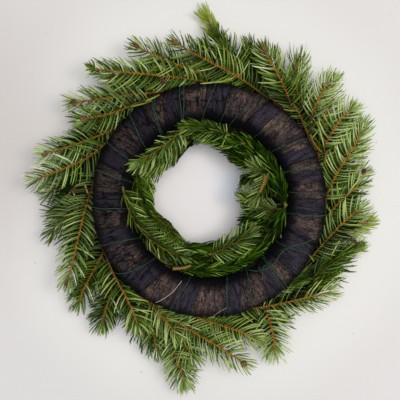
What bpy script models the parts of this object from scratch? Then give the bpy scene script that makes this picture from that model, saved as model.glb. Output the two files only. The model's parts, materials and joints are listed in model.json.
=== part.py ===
# A fir wreath that lies on its face: a straw ring wrapped in a woven strip,
# fir sprigs laid along the ring, and one winding wire that ties them on.
# The wrapped back is up (+Z) and the lowest needles touch the plane z = 0.
# Lengths below are in millimetres and angles in degrees, turned counter-clockwise
# seen from above. MM turns them into Blender's metres when a mesh is made.

import math
import random

import bmesh
import bpy
import numpy as np
from mathutils import Vector

MM = 0.001
UP = Vector((0, 0, 1))

# Ring
RING_CENTRE = (2.9, -3.7)
RING_RADIUS = 103.5
RING_HEIGHT = 50.0
CORE_WIDTH = 37.0
CORE_DEPTH = 34.0
SECTION_SIDES = 12
SIDE_STEP = 360.0 / SECTION_SIDES
FIRST_CORNER = SIDE_STEP / 2
CORE_STEPS = 36

# Woven strip, each turn lapped over the one before it
STRIP_TURNS = 20
STRIP_LAP = 1.15
STRIP_THICKNESS = 0.7
STRIP_GAP = 0.85
STRIP_RISE = 1.65
STRIP_TOP = STRIP_GAP + STRIP_RISE + STRIP_THICKNESS

# Winding wire, tight on the back and passing over the tied stems elsewhere
WIRE_TURNS = 24
WIRE_STEP = 360.0 / WIRE_TURNS
WIRE_RADIUS = 0.45
TOUCH_GAP = 0.35
END_GAP = 0.06

# Twigs and needles
STEM_RADIUS = 1.5
TIP_RADIUS = 0.95
STEM_LIFT = STRIP_TOP + TOUCH_GAP + STEM_RADIUS
WIRE_BACK_LIFT = STRIP_TOP + TOUCH_GAP + WIRE_RADIUS
WIRE_FACE_LIFT = STEM_LIFT + STEM_RADIUS + TOUCH_GAP + WIRE_RADIUS
TIED_LENGTH = 18.0
TIED_PAST = 2.0
TIED_STEPS = 4
LEAVE_SLOPE = 0.22
INNER_LEAVE_SLOPE = 0.42
INNER_LANE = -110
BARE_LENGTH = 10.0
STATION_STEP = 7.0
CURVE_STEPS = 40
CURVE_PULL = 0.36
BUD_LENGTH = 6.5
NEEDLE_STEP = 4.2
NEEDLE_LENGTH = 22.0
NEEDLE_SHARES = ((0.0, 0.75), (0.5, 1.0), (1.0, 0.65))
NEEDLE_ROOT_RADIUS = 2.0
NEEDLE_CLEARANCE = 0.5
ROOT_NEEDLE_ANGLE = 62.0
TIP_NEEDLE_ANGLE = 26.0
ANGLE_EASE = 1.5
ANGLE_SPREAD = 1.5
LENGTH_SPREAD = (0.9, 1.05)
TILT_SPREAD = 0.06

# Tilt of a needle up its side of the twig, as a share of the way straight out
TILTS = (0.45, -0.15, 0.25, -0.5)
SPARE_TILTS = (0.45, 0.2, -0.1, -0.4, 0.7, -0.7)
SHORTER = (1.0, 0.78, 0.55)
SHORTEST_CUT = 0.5
CLEAR_STEPS = 6

# A twig's section has three corners, 120 degrees apart
COS_30 = math.cos(math.radians(30))
SIN_30 = 0.5
FAR = 99.0

# Clear hole through the foliage, off the ring's axis, kept free of needles
HOLE_OFFSET = (-11.5, 9.0)
HOLE_HALF_WIDTH = 34.0
HOLE_HALF_DEPTH = 40.0

# Sprigs: wire turn that ties it, lane round the ring's section, tip's angle,
# tip's reach from the ring's axis, lean of the tip from the radius, tip's height
OUTER_SPRIGS = [
    (5, -38, 116, 184, 38, 44),
    (4, -22, 103, 175, 44, 46),
    (4, -84, 91.5, 205, 30, 13),
    (4, -54, 88, 184, 28, 29),
    (3, -68, 76, 176, 30, 27),
    (2, -22, 71, 174, 46, 45),
    (2, -54, 58.5, 183, 30, 30),
    (1, -38, 44, 186, 32, 44),
    (0, -54, 33, 186, 36, 30),
    (0, -22, 25, 182, 40, 45),
    (-1, -68, 11, 174, 22, 28),
    (-1, -38, 7, 165, 36, 44),
    (-2, -22, -2, 165, 40, 45),
    (-2, -84, -6, 184, 34, 14),
    (-4, -54, -17, 172, 46, 30),
    (-5, -38, -36, 165, 50, 43),
    (-6, -84, -67, 183, 4, 15),
    (-7, -38, -70, 160, 44, 44),
    (-8, -22, -77, 181, 42, 45),
    (-9, -38, -102, 152, 46, 44),
    (-8, -54, -97, 200, 24, 29),
    (-10, -22, -118, 158, 44, 45),
    (-9, -68, -108, 178, 30, 27),
    (-10, -54, -130, 182, 28, 30),
    (-11, -68, -141, 184, 32, 27),
    (11, -38, -149, 178, 42, 44),
    (11, -68, -167, 179, 36, 28),
    (10, -22, 174, 190, 28, 45),
    (9, -38, 165, 185, 32, 43),
    (8, -22, 148, 163, 36, 46),
    (7, -38, 145, 181, 42, 43),
    (6, -22, 132, 189, 40, 46),
    (10, -84, 178, 180, 30, 14),
    (6, -84, 118, 166, 34, 15),
    (-9, -84, -95, 170, 32, 15),
]
INNER_SPRIGS = [
    (7, -142, 151, 73, 88, 36),
    (4, -130, 106, 71, 88, 29),
    (9, -130, 181, 68, 96, 30),
    (0, -158, 68, 72, 90, 38),
    (-1, -120, 25, 60, 82, 25),
    (-3, -142, -8, 73, 84, 35),
    (-6, -120, -30, 56, 92, 24),
    (-8, -158, -32, 73, 84, 38),
    (-12, -158, -119, 70, 96, 38),
    (-11, -120, -126, 60, 98, 25),
]

# Sprigs under the ring, one to every second turn of wire, by turns near its
# outer and its inner edge
FACE_TURNS = range(-11, 12, 2)
FACE_LANES = (-106, -98)
FACE_REACHES = (98, 128)
FACE_SWEEP = 46.0
FACE_LEAN = 74
FACE_HEIGHT = 13

# Outer sprigs whose tips lie lower than this are young shoots
YOUNG_BELOW = 16


def section_point(angle, lift):
    # Radius and height on the ring's twelve-sided section, raised by lift.
    side = (angle - FIRST_CORNER) / SIDE_STEP
    corner = math.floor(side)
    share = side - corner
    radii = []
    heights = []
    for number in (corner, corner + 1):
        turn = math.radians(FIRST_CORNER + SIDE_STEP * number)
        radii.append((CORE_WIDTH / 2 + lift) * math.cos(turn))
        heights.append((CORE_DEPTH / 2 + lift) * math.sin(turn))
    radius = radii[0] + (radii[1] - radii[0]) * share
    height = heights[0] + (heights[1] - heights[0]) * share
    return RING_RADIUS + radius, RING_HEIGHT + height


def ring_point(around, angle, lift):
    # A point on the ring: around its axis, round its section, and raised.
    radius, height = section_point(angle, lift)
    turn = math.radians(around)
    x = RING_CENTRE[0] + radius * math.cos(turn)
    y = RING_CENTRE[1] + radius * math.sin(turn)
    return Vector((x, y, height))


def make_object(name, mesh_builder, material):
    # Turns a finished bmesh, in millimetres, into an object in metres.
    bmesh.ops.triangulate(mesh_builder, faces=mesh_builder.faces)
    bmesh.ops.recalc_face_normals(mesh_builder, faces=mesh_builder.faces)
    bmesh.ops.scale(mesh_builder, vec=(MM, MM, MM), verts=mesh_builder.verts)
    mesh = bpy.data.meshes.new(name)
    mesh_builder.to_mesh(mesh)
    mesh_builder.free()
    mesh.materials.append(material)
    item = bpy.data.objects.new(name, mesh)
    bpy.context.scene.collection.objects.link(item)
    return item


def make_material(name, colour, roughness, metallic=0.0):
    material = bpy.data.materials.new(name)
    material.use_nodes = True
    shader = material.node_tree.nodes["Principled BSDF"]
    shader.inputs["Base Color"].default_value = (*colour, 1.0)
    shader.inputs["Roughness"].default_value = roughness
    shader.inputs["Metallic"].default_value = metallic
    return material


def loft(loops, closed=False):
    # Skins a row of loops with as many points each, capped unless closed.
    builder = bmesh.new()
    rows = [[builder.verts.new(point) for point in loop] for loop in loops]
    pairs = list(zip(rows, rows[1:]))
    if closed:
        pairs.append((rows[-1], rows[0]))
    for first, second in pairs:
        for number in range(len(first)):
            after = (number + 1) % len(first)
            builder.faces.new((first[number], first[after], second[after], second[number]))
    if not closed:
        builder.faces.new(rows[0])
        builder.faces.new(list(reversed(rows[-1])))
    return builder


def build_core(material):
    # The straw ring form inside the wrap.
    loops = []
    for step in range(CORE_STEPS):
        around = 360.0 * step / CORE_STEPS
        corners = [FIRST_CORNER + SIDE_STEP * number for number in range(SECTION_SIDES)]
        loops.append([ring_point(around, angle, 0.0) for angle in corners])
    return make_object("ring_core", loft(loops, closed=True), material)


def helix_steps(turns):
    # Angle round the ring and round its section at each step of a winding
    # that goes once round the ring and stops just short of its own start.
    steps = turns * SECTION_SIDES
    for step in range(steps + 1):
        place = min(step, steps - END_GAP)
        yield 360.0 * place / steps, FIRST_CORNER + SIDE_STEP * place


def build_strip(material):
    # One woven strip wound round the core. Its far edge lies low, under the
    # next turn, and its near edge lies high, over the turn before.
    width = 360.0 / STRIP_TURNS * STRIP_LAP
    loops = []
    for around, angle in helix_steps(STRIP_TURNS):
        outside = []
        inside = []
        for share in (-0.5, 0.0, 0.5):
            lift = STRIP_GAP + STRIP_RISE * (0.5 - share)
            outside.append(ring_point(around + width * share, angle, lift + STRIP_THICKNESS))
            inside.append(ring_point(around + width * share, angle, lift))
        loops.append(outside + inside[::-1])
    return make_object("wrap_strip", loft(loops), material)


def wire_lift(angle):
    # Low over the bare back of the ring, high where stems are tied.
    return WIRE_BACK_LIFT if math.sin(math.radians(angle)) > 0 else WIRE_FACE_LIFT


def wire_route():
    return [ring_point(around, angle, wire_lift(angle)) for around, angle in helix_steps(WIRE_TURNS)]


def build_wire(material):
    # The winding wire, a three-sided rod along its route.
    route = wire_route()
    loops = []
    for number, point in enumerate(route):
        before = route[max(number - 1, 0)]
        after = route[min(number + 1, len(route) - 1)]
        along = (after - before).normalized()
        around = math.atan2(point.y - RING_CENTRE[1], point.x - RING_CENTRE[0])
        centre = Vector((RING_CENTRE[0], RING_CENTRE[1], RING_HEIGHT))
        centre += RING_RADIUS * Vector((math.cos(around), math.sin(around), 0))
        out = point - centre
        out = (out - out.dot(along) * along).normalized()
        side = along.cross(out)
        loop = []
        for corner in (90, 210, 330):
            turn = math.radians(corner)
            loop.append(point + WIRE_RADIUS * (math.cos(turn) * side + math.sin(turn) * out))
        loops.append(loop)
    return make_object("winding_wire", loft(loops), material)


def wire_angle(tie, lane):
    # Where one turn of the wire crosses a lane, as an angle round the ring.
    return WIRE_STEP * (tie + (lane - FIRST_CORNER) / 360.0)


def face_rows():
    rows = []
    for number, tie in enumerate(FACE_TURNS):
        lane = FACE_LANES[number % 2]
        tip_angle = wire_angle(tie, lane) + FACE_SWEEP
        rows.append((tie, lane, tip_angle, FACE_REACHES[number % 2], FACE_LEAN, FACE_HEIGHT))
    return rows


def twig_curve(row):
    # Close points along a twig: tied along the ring first, then a Bezier
    # curve out to its tip.
    tie, lane, tip_angle, tip_reach, lean, tip_height = row
    tie_angle = wire_angle(tie, lane)
    degrees = math.degrees(1.0 / section_point(lane, STEM_LIFT)[0])
    tied = []
    for step in range(TIED_STEPS + 1):
        reach = -TIED_LENGTH + (TIED_LENGTH + TIED_PAST) * step / TIED_STEPS
        tied.append(ring_point(tie_angle + reach * degrees, lane, STEM_LIFT))
    start = tied[-1]
    away = ring_point(tie_angle, lane, STEM_LIFT + 1) - ring_point(tie_angle, lane, STEM_LIFT)
    slope = INNER_LEAVE_SLOPE if lane < INNER_LANE else LEAVE_SLOPE
    heading = ((tied[-1] - tied[-2]).normalized() + slope * away).normalized()
    turn = math.radians(tip_angle)
    tip = Vector((RING_CENTRE[0], RING_CENTRE[1], tip_height))
    tip += tip_reach * Vector((math.cos(turn), math.sin(turn), 0))
    tip_turn = math.radians(tip_angle + lean)
    tip_heading = Vector((math.cos(tip_turn), math.sin(tip_turn), 0))
    tip -= BUD_LENGTH * tip_heading
    pull = CURVE_PULL * (tip - start).length
    controls = (start, start + pull * heading, tip - pull * tip_heading, tip)
    curve = list(tied)
    for step in range(1, CURVE_STEPS + 1):
        share = step / CURVE_STEPS
        rest = 1 - share
        curve.append(
            rest**3 * controls[0]
            + 3 * rest**2 * share * controls[1]
            + 3 * rest * share**2 * controls[2]
            + share**3 * controls[3]
        )
    return curve


def twig_stations(row):
    # Places and headings at the twig's stations, wide apart on the bare stem
    # and one needle apart beyond it, and the number of the first leafy one.
    curve = twig_curve(row)
    lengths = [0.0]
    for first, second in zip(curve, curve[1:]):
        lengths.append(lengths[-1] + (second - first).length)
    bare = TIED_LENGTH + TIED_PAST + BARE_LENGTH
    bare_steps = round(bare / STATION_STEP)
    leafy_steps = round((lengths[-1] - bare) / NEEDLE_STEP)
    reaches = [bare * step / bare_steps for step in range(bare_steps)]
    reaches += [bare + (lengths[-1] - bare) * step / leafy_steps for step in range(leafy_steps + 1)]
    grid = np.array([tuple(point) for point in curve])
    columns = [np.interp(reaches, lengths, grid[:, axis]) for axis in range(3)]
    places = [Vector(place) for place in zip(*columns)]
    headings = []
    for number in range(len(places)):
        before = places[max(number - 1, 0)]
        after = places[min(number + 1, len(places) - 1)]
        headings.append((after - before).normalized())
    return places, headings, bare_steps


def twig_radius(share):
    return STEM_RADIUS + (TIP_RADIUS - STEM_RADIUS) * share


def up_and_right(heading):
    # The upright and sideways directions of a twig that runs along heading.
    up = (UP - UP.dot(heading) * heading).normalized()
    return up, heading.cross(up)


def twig_corners(place, heading, radius):
    # Three corners: left and right of the bare upper side, and underneath.
    up, right = up_and_right(heading)
    return [
        place + radius * (SIN_30 * up - COS_30 * right),
        place + radius * (SIN_30 * up + COS_30 * right),
        place - radius * up,
    ]


class Rods:
    # Tapered rods of every piece, to keep each new needle clear of the others.
    def __init__(self):
        self.owner = np.empty(0, dtype=int)
        self.start = np.empty((0, 3))
        self.end = np.empty((0, 3))
        self.start_radius = np.empty(0)
        self.end_radius = np.empty(0)

    def add(self, owner, start, end, start_radius, end_radius):
        self.owner = np.append(self.owner, owner)
        self.start = np.vstack((self.start, start))
        self.end = np.vstack((self.end, end))
        self.start_radius = np.append(self.start_radius, start_radius)
        self.end_radius = np.append(self.end_radius, end_radius)

    def gap(self, owner, start, end, start_radius):
        # Smallest gap between a needle from start to end and any other piece.
        start = np.array(start)
        end = np.array(end)
        middles = (self.start + self.end) / 2
        reach = np.linalg.norm(end - start) / 2 + np.linalg.norm(self.end - self.start, axis=1) / 2
        apart = np.linalg.norm(middles - (start + end) / 2, axis=1)
        near = (self.owner != owner) & (apart < reach + 2 * start_radius + 2)
        if not near.any():
            return FAR
        other_start = self.start[near]
        along = end - start
        other_along = self.end[near] - other_start
        between = start - other_start
        a = along @ along
        e = np.einsum("ij,ij->i", other_along, other_along)
        f = np.einsum("ij,ij->i", other_along, between)
        c = between @ along
        b = other_along @ along
        spread = np.maximum(a * e - b * b, 1e-9)
        share = np.clip((b * f - c * e) / spread, 0, 1)
        other = np.clip((b * share + f) / e, 0, 1)
        share = np.clip((b * other - c) / a, 0, 1)
        nothing = np.zeros_like(e)
        pairs = [(share, other)]
        pairs += [(nothing + at, np.clip((b * at + f) / e, 0, 1)) for at in (0, 1)]
        pairs += [(np.clip((b * at - c) / a, 0, 1), nothing + at) for at in (0, 1)]
        smallest = FAR
        for here, there in pairs:
            span = between + here[:, None] * along - there[:, None] * other_along
            thick = start_radius * (1 - here)
            thick += self.start_radius[near] * (1 - there) + self.end_radius[near] * there
            smallest = min(smallest, float((np.linalg.norm(span, axis=1) - thick).min()))
        return smallest


def clear_of_ring_and_hole(start, end):
    # True where a needle stays outside the wrap and out of the clear hole.
    for step in range(CLEAR_STEPS + 1):
        share = step / CLEAR_STEPS
        point = start.lerp(end, share)
        thick = NEEDLE_ROOT_RADIUS * (1 - share)
        x = point.x - RING_CENTRE[0]
        y = point.y - RING_CENTRE[1]
        wide = (math.hypot(x, y) - RING_RADIUS) / (CORE_WIDTH / 2 + STRIP_TOP + TOUCH_GAP + thick)
        high = (point.z - RING_HEIGHT) / (CORE_DEPTH / 2 + STRIP_TOP + TOUCH_GAP + thick)
        if wide * wide + high * high < 1:
            return False
        if abs(x - HOLE_OFFSET[0]) < HOLE_HALF_WIDTH and abs(y - HOLE_OFFSET[1]) < HOLE_HALF_DEPTH:
            return False
    return True


def needle_habit(draw, number, side, share):
    # Angle from the twig, length and tilt of a needle with room to grow.
    angle = ROOT_NEEDLE_ANGLE + (TIP_NEEDLE_ANGLE - ROOT_NEEDLE_ANGLE) * share**ANGLE_EASE
    angle += draw.uniform(-ANGLE_SPREAD, ANGLE_SPREAD)
    length = NEEDLE_LENGTH * float(np.interp(share, *zip(*NEEDLE_SHARES)))
    length *= draw.uniform(*LENGTH_SPREAD)
    tilt = TILTS[(number + (side > 0)) % len(TILTS)] + draw.uniform(-TILT_SPREAD, TILT_SPREAD)
    return angle, length, tilt


def needle_tip(rods, owner, root, heading, side, habit):
    # Tip of one needle: its own tilt at full length where that is clear of the
    # other sprigs, or else another tilt, or a shorter needle. None if crowded.
    # The angle round the twig's corner edges is the same for every tilt, so
    # needles of one side never cross.
    angle, length, tilt = habit
    hinge = math.radians(angle)
    up, right = up_and_right(heading)
    outward = side * COS_30 * right - SIN_30 * up
    upward = side * SIN_30 * right + COS_30 * up
    for shorter in SHORTER:
        for turned in (tilt, *SPARE_TILTS):
            way = math.cos(hinge) * heading + math.sin(hinge) * outward + turned * upward
            tip = root + length * shorter * way.normalized()
            if tip.z < 0:
                tip = root.lerp(tip, root.z / (root.z - tip.z))
            if (tip - root).length < SHORTEST_CUT * length * shorter:
                continue
            if not clear_of_ring_and_hole(root, tip):
                continue
            if rods.gap(owner, root, tip, NEEDLE_ROOT_RADIUS) > NEEDLE_CLEARANCE:
                return tip
    return None


def build_sprig(name, owner, stations, rods, material):
    # A three-sided twig whose two lower sides rise into needles, one from each
    # side at every station, with a bud at its tip and a flat cut end.
    places, headings, first_leafy = stations
    draw = random.Random(owner)
    last = len(places) - 1
    builder = bmesh.new()
    rows = []
    for number, (place, heading) in enumerate(zip(places, headings)):
        corners = twig_corners(place, heading, twig_radius(number / last))
        rows.append([builder.verts.new(corner) for corner in corners])
    for number in range(last):
        here = rows[number]
        ahead = rows[number + 1]
        builder.faces.new((here[0], here[1], ahead[1], ahead[0]))
        for side, (first, second) in ((1, (1, 2)), (-1, (2, 0))):
            quad = (here[first], here[second], ahead[second], ahead[first])
            tip = None
            if number >= first_leafy:
                root = sum((corner.co for corner in quad), Vector()) / len(quad)
                habit = needle_habit(draw, number, side, (number - first_leafy) / (last - first_leafy))
                tip = needle_tip(rods, owner, root, headings[number], side, habit)
            if tip is None:
                builder.faces.new(quad)
                continue
            rods.add(owner, root, tip, NEEDLE_ROOT_RADIUS, 0.0)
            point = builder.verts.new(tip)
            for corner, after in zip(quad, quad[1:] + quad[:1]):
                builder.faces.new((corner, after, point))
    builder.faces.new(rows[0])
    bud = builder.verts.new(places[-1] + BUD_LENGTH * headings[-1])
    for first, second in ((0, 1), (1, 2), (2, 0)):
        builder.faces.new((rows[-1][first], rows[-1][second], bud))
    return make_object(name, builder, material)


def build_sprigs(materials):
    # All sprigs share one set of rods: wire and twigs first, needles as they grow.
    rods = Rods()
    route = wire_route()
    for first, second in zip(route, route[1:]):
        rods.add(-1, first, second, WIRE_RADIUS, WIRE_RADIUS)
    sprigs = []
    for kind, rows in (("outer", OUTER_SPRIGS), ("inner", INNER_SPRIGS), ("face", face_rows())):
        for number, row in enumerate(rows, start=1):
            sprigs.append((f"{kind}_sprig_{number:02d}", kind, row[5], twig_stations(row)))
    for owner, (name, kind, height, stations) in enumerate(sprigs):
        places, headings, first_leafy = stations
        last = len(places) - 1
        for number in range(last):
            radii = [twig_radius(at / last) for at in (number, number + 1)]
            rods.add(owner, places[number], places[number + 1], *radii)
        rods.add(owner, places[-1], places[-1] + BUD_LENGTH * headings[-1], TIP_RADIUS, 0.0)
    order = sorted(range(len(sprigs)), key=lambda owner: (sprigs[owner][1] == "face", -sprigs[owner][2]))
    for owner in order:
        name, kind, height, stations = sprigs[owner]
        shade = "fir_young" if kind == "outer" and height < YOUNG_BELOW else "fir_green"
        build_sprig(name, owner, stations, rods, materials[shade])


def main():
    for item in list(bpy.data.objects):
        bpy.data.objects.remove(item)
    materials = {
        "straw": make_material("straw", (0.42, 0.30, 0.13), 0.9),
        "strip": make_material("dark_woven_strip", (0.035, 0.028, 0.035), 0.8),
        "wire": make_material("green_wire", (0.02, 0.09, 0.05), 0.35, 0.6),
        "fir_green": make_material("fir_green", (0.06, 0.16, 0.05), 0.55),
        "fir_young": make_material("fir_young", (0.16, 0.27, 0.07), 0.55),
    }
    build_core(materials["straw"])
    build_strip(materials["strip"])
    build_wire(materials["wire"])
    build_sprigs(materials)


main()
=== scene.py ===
# A fir wreath that lies on its face, seen from straight above: a straw ring in a dark
# woven strip, fir sprigs all round it, and the green wire that ties them on.
# Lengths are metres and angles degrees, turned counter-clockwise seen from above.

import json
import math
import random

import bpy
import numpy as np
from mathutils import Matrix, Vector, noise

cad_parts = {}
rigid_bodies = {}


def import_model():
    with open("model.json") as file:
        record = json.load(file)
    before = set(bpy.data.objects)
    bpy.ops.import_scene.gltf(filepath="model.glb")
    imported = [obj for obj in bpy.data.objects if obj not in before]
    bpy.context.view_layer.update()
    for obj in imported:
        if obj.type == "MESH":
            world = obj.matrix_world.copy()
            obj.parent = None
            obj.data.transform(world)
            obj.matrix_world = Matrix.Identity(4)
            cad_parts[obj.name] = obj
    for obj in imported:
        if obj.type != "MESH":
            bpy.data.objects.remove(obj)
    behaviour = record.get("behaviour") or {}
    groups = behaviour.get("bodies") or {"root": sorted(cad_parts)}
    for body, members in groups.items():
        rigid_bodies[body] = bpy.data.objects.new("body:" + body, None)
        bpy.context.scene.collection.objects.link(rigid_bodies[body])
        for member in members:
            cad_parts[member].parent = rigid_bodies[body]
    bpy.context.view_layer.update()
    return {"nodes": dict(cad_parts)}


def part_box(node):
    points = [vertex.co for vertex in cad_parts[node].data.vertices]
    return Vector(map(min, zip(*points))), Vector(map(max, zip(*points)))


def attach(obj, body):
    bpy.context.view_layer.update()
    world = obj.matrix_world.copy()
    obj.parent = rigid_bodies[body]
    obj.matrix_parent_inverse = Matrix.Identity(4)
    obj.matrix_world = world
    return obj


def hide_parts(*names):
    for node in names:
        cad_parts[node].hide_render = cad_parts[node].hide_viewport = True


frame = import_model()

# The ring, measured on its core's solid
coreLow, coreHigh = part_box("ring_core")
ring = {
    "centre": (coreLow + coreHigh) / 2,
    "radius": 0.1035,  # from the ring's axis to the middle of its section
    "firstCorner": 15,  # of the core's twelve-sided section
    "sideStep": 30,
}
toCorner = math.cos(math.radians(ring["firstCorner"]))  # flat side to corner
ring["halfWide"] = ((coreHigh.x - coreLow.x) / 2 - ring["radius"]) / toCorner
ring["halfHigh"] = (coreHigh.z - coreLow.z) / 2 / toCorner


def stage(text):
    print("stage:", text)


def sectionPoint(lane, lift):
    # distance from the ring's axis and height, on the section's flat sides
    side = (np.asarray(lane, float) - ring["firstCorner"]) / ring["sideStep"]
    corner = np.floor(side)
    share = side - corner
    first = np.radians(ring["firstCorner"] + ring["sideStep"] * corner)
    second = first + math.radians(ring["sideStep"])
    across = (ring["halfWide"] + lift) * (np.cos(first) * (1 - share) + np.cos(second) * share)
    up = (ring["halfHigh"] + lift) * (np.sin(first) * (1 - share) + np.sin(second) * share)
    return ring["radius"] + across, ring["centre"].z + up


def roundPoint(lane, lift):
    # the same on a smooth oval section
    turn = np.radians(lane)
    across = (ring["halfWide"] + lift) * np.cos(turn)
    return ring["radius"] + across, ring["centre"].z + (ring["halfHigh"] + lift) * np.sin(turn)


def ringPoints(around, lane, lift, section=roundPoint):
    # points on the ring: around its axis, round its section, and raised by lift
    radius, height = section(lane, lift)
    turn = np.radians(around)
    x = ring["centre"].x + radius * np.cos(turn)
    y = ring["centre"].y + radius * np.sin(turn)
    return np.stack([x, y, height + 0 * x], axis=-1)


upward = np.array([0.0, 0.0, 1.0])


def unit(vectors):
    return vectors / np.maximum(np.linalg.norm(vectors, axis=-1, keepdims=True), 1e-12)


def offAxis(points):
    # how far points lie from the ring's axis, along X and along Y
    return points[..., 0] - ring["centre"].x, points[..., 1] - ring["centre"].y


def ramp(values, start, span):
    # 0 up to start and 1 past start + span; a span below 0 runs the other way
    return np.clip((values - start) / span, 0, 1)


def table(heads, **rows):
    # named rows of values, each made a dictionary with the same heads
    return {name: dict(zip(heads.split(), row)) for name, row in rows.items()}


# Shader graphs

class Value:
    # the number or colour that comes out of a node, so that sums read as Python
    def __init__(self, paint, socket):
        self.paint = paint
        self.socket = socket

    def math(self, operation, *terms):
        return self.paint.node("ShaderNodeMath", {"operation": operation}, dict(enumerate(terms)))

    def __add__(self, other):
        return self.math("ADD", self, other)

    def __radd__(self, other):
        return self.math("ADD", other, self)

    def __sub__(self, other):
        return self.math("SUBTRACT", self, other)

    def __rsub__(self, other):
        return self.math("SUBTRACT", other, self)

    def __mul__(self, other):
        return self.math("MULTIPLY", self, other)

    def __rmul__(self, other):
        return self.math("MULTIPLY", other, self)

    def __abs__(self):
        return self.math("ABSOLUTE", self)

    def sine(self):
        return self.math("SINE", self)

    def fraction(self):
        return self.math("FRACT", self)


class Paint:
    # a material and its Principled shader
    def __init__(self, name, roughness, gloss=0.5):
        self.material = bpy.data.materials.new(name)
        self.material.use_nodes = True
        self.tree = self.material.node_tree
        self.shader = self.tree.nodes["Principled BSDF"]
        self.set("Roughness", roughness)
        self.set("Specular IOR Level", gloss)

    def node(self, kind, settings=None, inputs=None, output=0):
        made = self.tree.nodes.new(kind)
        for key, value in (settings or {}).items():
            if key == "stops":
                self.setStops(made.color_ramp, value)
            else:
                setattr(made, key, value)
        for key, value in (inputs or {}).items():
            self.feed(made.inputs[key], value)
        return Value(self, made.outputs[output])

    def setStops(self, ramp, stops):
        while len(ramp.elements) < len(stops):
            ramp.elements.new(0.5)
        for element, (place, colour) in zip(ramp.elements, stops):
            element.position = place
            element.color = (*colour, 1)

    def feed(self, socket, value):
        if isinstance(value, Value):
            self.tree.links.new(value.socket, socket)
        elif isinstance(value, tuple) and len(value) == 3 and socket.type == "RGBA":
            socket.default_value = (*value, 1)
        else:
            socket.default_value = value

    def attribute(self, name):
        return self.node("ShaderNodeAttribute", {"attribute_name": name}, output=2)

    def uv(self, axis):
        place = self.node("ShaderNodeUVMap", {"uv_map": "UVMap"})
        return self.node("ShaderNodeSeparateXYZ", None, {0: place}, output=axis)

    def place(self):
        return self.node("ShaderNodeTexCoord", output=3)

    def distance(self, place):
        values = {0: self.place(), 1: place}
        return self.node("ShaderNodeVectorMath", {"operation": "DISTANCE"}, values, output=1)

    def noise(self, scale, detail=2.0, where=None, rough=0.5):
        where = where or self.place()
        values = {"Vector": where, "Scale": scale, "Detail": detail, "Roughness": rough}
        return self.node("ShaderNodeTexNoise", None, values)

    def between(self, value, low, high):
        # 0 below low, 1 above high, and smooth between
        values = {0: value, 1: low, 2: high, 3: 0.0, 4: 1.0}
        return self.node("ShaderNodeMapRange", {"interpolation_type": "SMOOTHSTEP"}, values)

    def mix(self, factor, first, second, blend="MIX"):
        settings = {"data_type": "RGBA", "blend_type": blend}
        return self.node("ShaderNodeMix", settings, {0: factor, 6: first, 7: second}, output=2)

    def ramp(self, factor, *stops):
        return self.node("ShaderNodeValToRGB", {"stops": stops}, {0: factor})

    def set(self, socket, value):
        self.feed(self.shader.inputs[socket], value)

    def finish(self, colour):
        self.set("Base Color", colour)
        return self.material

    def bump(self, height, distance, strength=1.0):
        values = {"Strength": strength, "Distance": distance, "Height": height}
        self.set("Normal", self.node("ShaderNodeBump", None, values))


def needlePaint(name, gloss):
    # waxy green above, with two pale bands beside the midrib below
    paint = Paint(name, 0.42, gloss)
    across = paint.uv(0)
    along = paint.uv(1)
    tone, pale, young = (paint.attribute(name) for name in ("tone", "pale", "young"))
    green = paint.ramp(
        tone,
        (0.0, (0.0015, 0.007, 0.0)),
        (0.3, (0.015, 0.042, 0.0005)),
        (0.6, (0.064, 0.138, 0.003)),
        (0.85, (0.185, 0.310, 0.028)),
        (1.0, (0.470, 0.585, 0.215)),
    )
    # the outer sprigs are yellower than those inside the ring
    warmth = paint.between(young, 0.0, 0.3)
    green = paint.mix(warmth, green, (1.0, 0.92, 0.80), blend="MULTIPLY")
    offBand = abs((across * 4).fraction() - 0.5)
    band = paint.between(offBand, 0.36, 0.2) * paint.between(across, 0.49, 0.51)
    fade = paint.between(along, 0.05, 0.2) * paint.between(along, 1.0, 0.9)
    waxy = paint.mix(band * fade * pale, green, (0.42, 0.54, 0.19))
    limed = paint.mix(paint.between(young, 0.3, 1.0), waxy, (0.32, 0.40, 0.035))
    # a paleness of 2 gives a painted highlight
    limed = paint.mix(paint.between(pale, 1.2, 1.8), limed, (0.70, 0.78, 0.50))
    # painted shade beside the twig, and brown where it grows out of it
    inward = paint.between(along, 0.55, 0.1)
    shaded = paint.mix(inward * 0.55, limed, (0.010, 0.026, 0.003))
    foot = paint.between(along, 0.11, 0.06)
    brown = paint.mix(tone, (0.03, 0.014, 0.002), (0.34, 0.20, 0.022))
    return paint.finish(paint.mix(foot, shaded, brown))


def twigPaint():
    # orange-brown bark, yellower at its young end and greyer where it is old
    paint = Paint("firTwig", 0.75, 0.2)
    age = paint.attribute("tone")
    speckle = paint.noise(900, 3)
    # the needles' old feet stand in a row on each side, as notches along the twig
    sway = 0.25 * (paint.uv(0) * 12.57).sine()
    notch = paint.between(((paint.uv(1) + sway) * 6.283).sine(), -0.2, 0.8)
    bark = paint.ramp(
        age + 0.5 * (speckle - 0.5) + 0.8 * (notch - 0.4),
        (0.0, (0.33, 0.19, 0.024)),
        (0.4, (0.17, 0.085, 0.009)),
        (0.75, (0.022, 0.012, 0.003)),
    )
    bark = paint.mix(paint.attribute("young"), bark, (0.15, 0.14, 0.018))
    cut = paint.attribute("pale")
    paint.bump(speckle, 0.0004, 0.6)
    return paint.finish(paint.mix(cut, bark, (0.62, 0.43, 0.17)))


def budPaint():
    paint = Paint("firBud", 0.5, 0.3)
    shade = paint.noise(900, 3)
    colour = paint.ramp(
        shade + 0.5 * (paint.attribute("tone") - 0.5),
        (0.25, (0.030, 0.010, 0.006)),
        (0.50, (0.120, 0.040, 0.024)),
        (0.80, (0.270, 0.115, 0.055)),
    )
    return paint.finish(colour)


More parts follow.
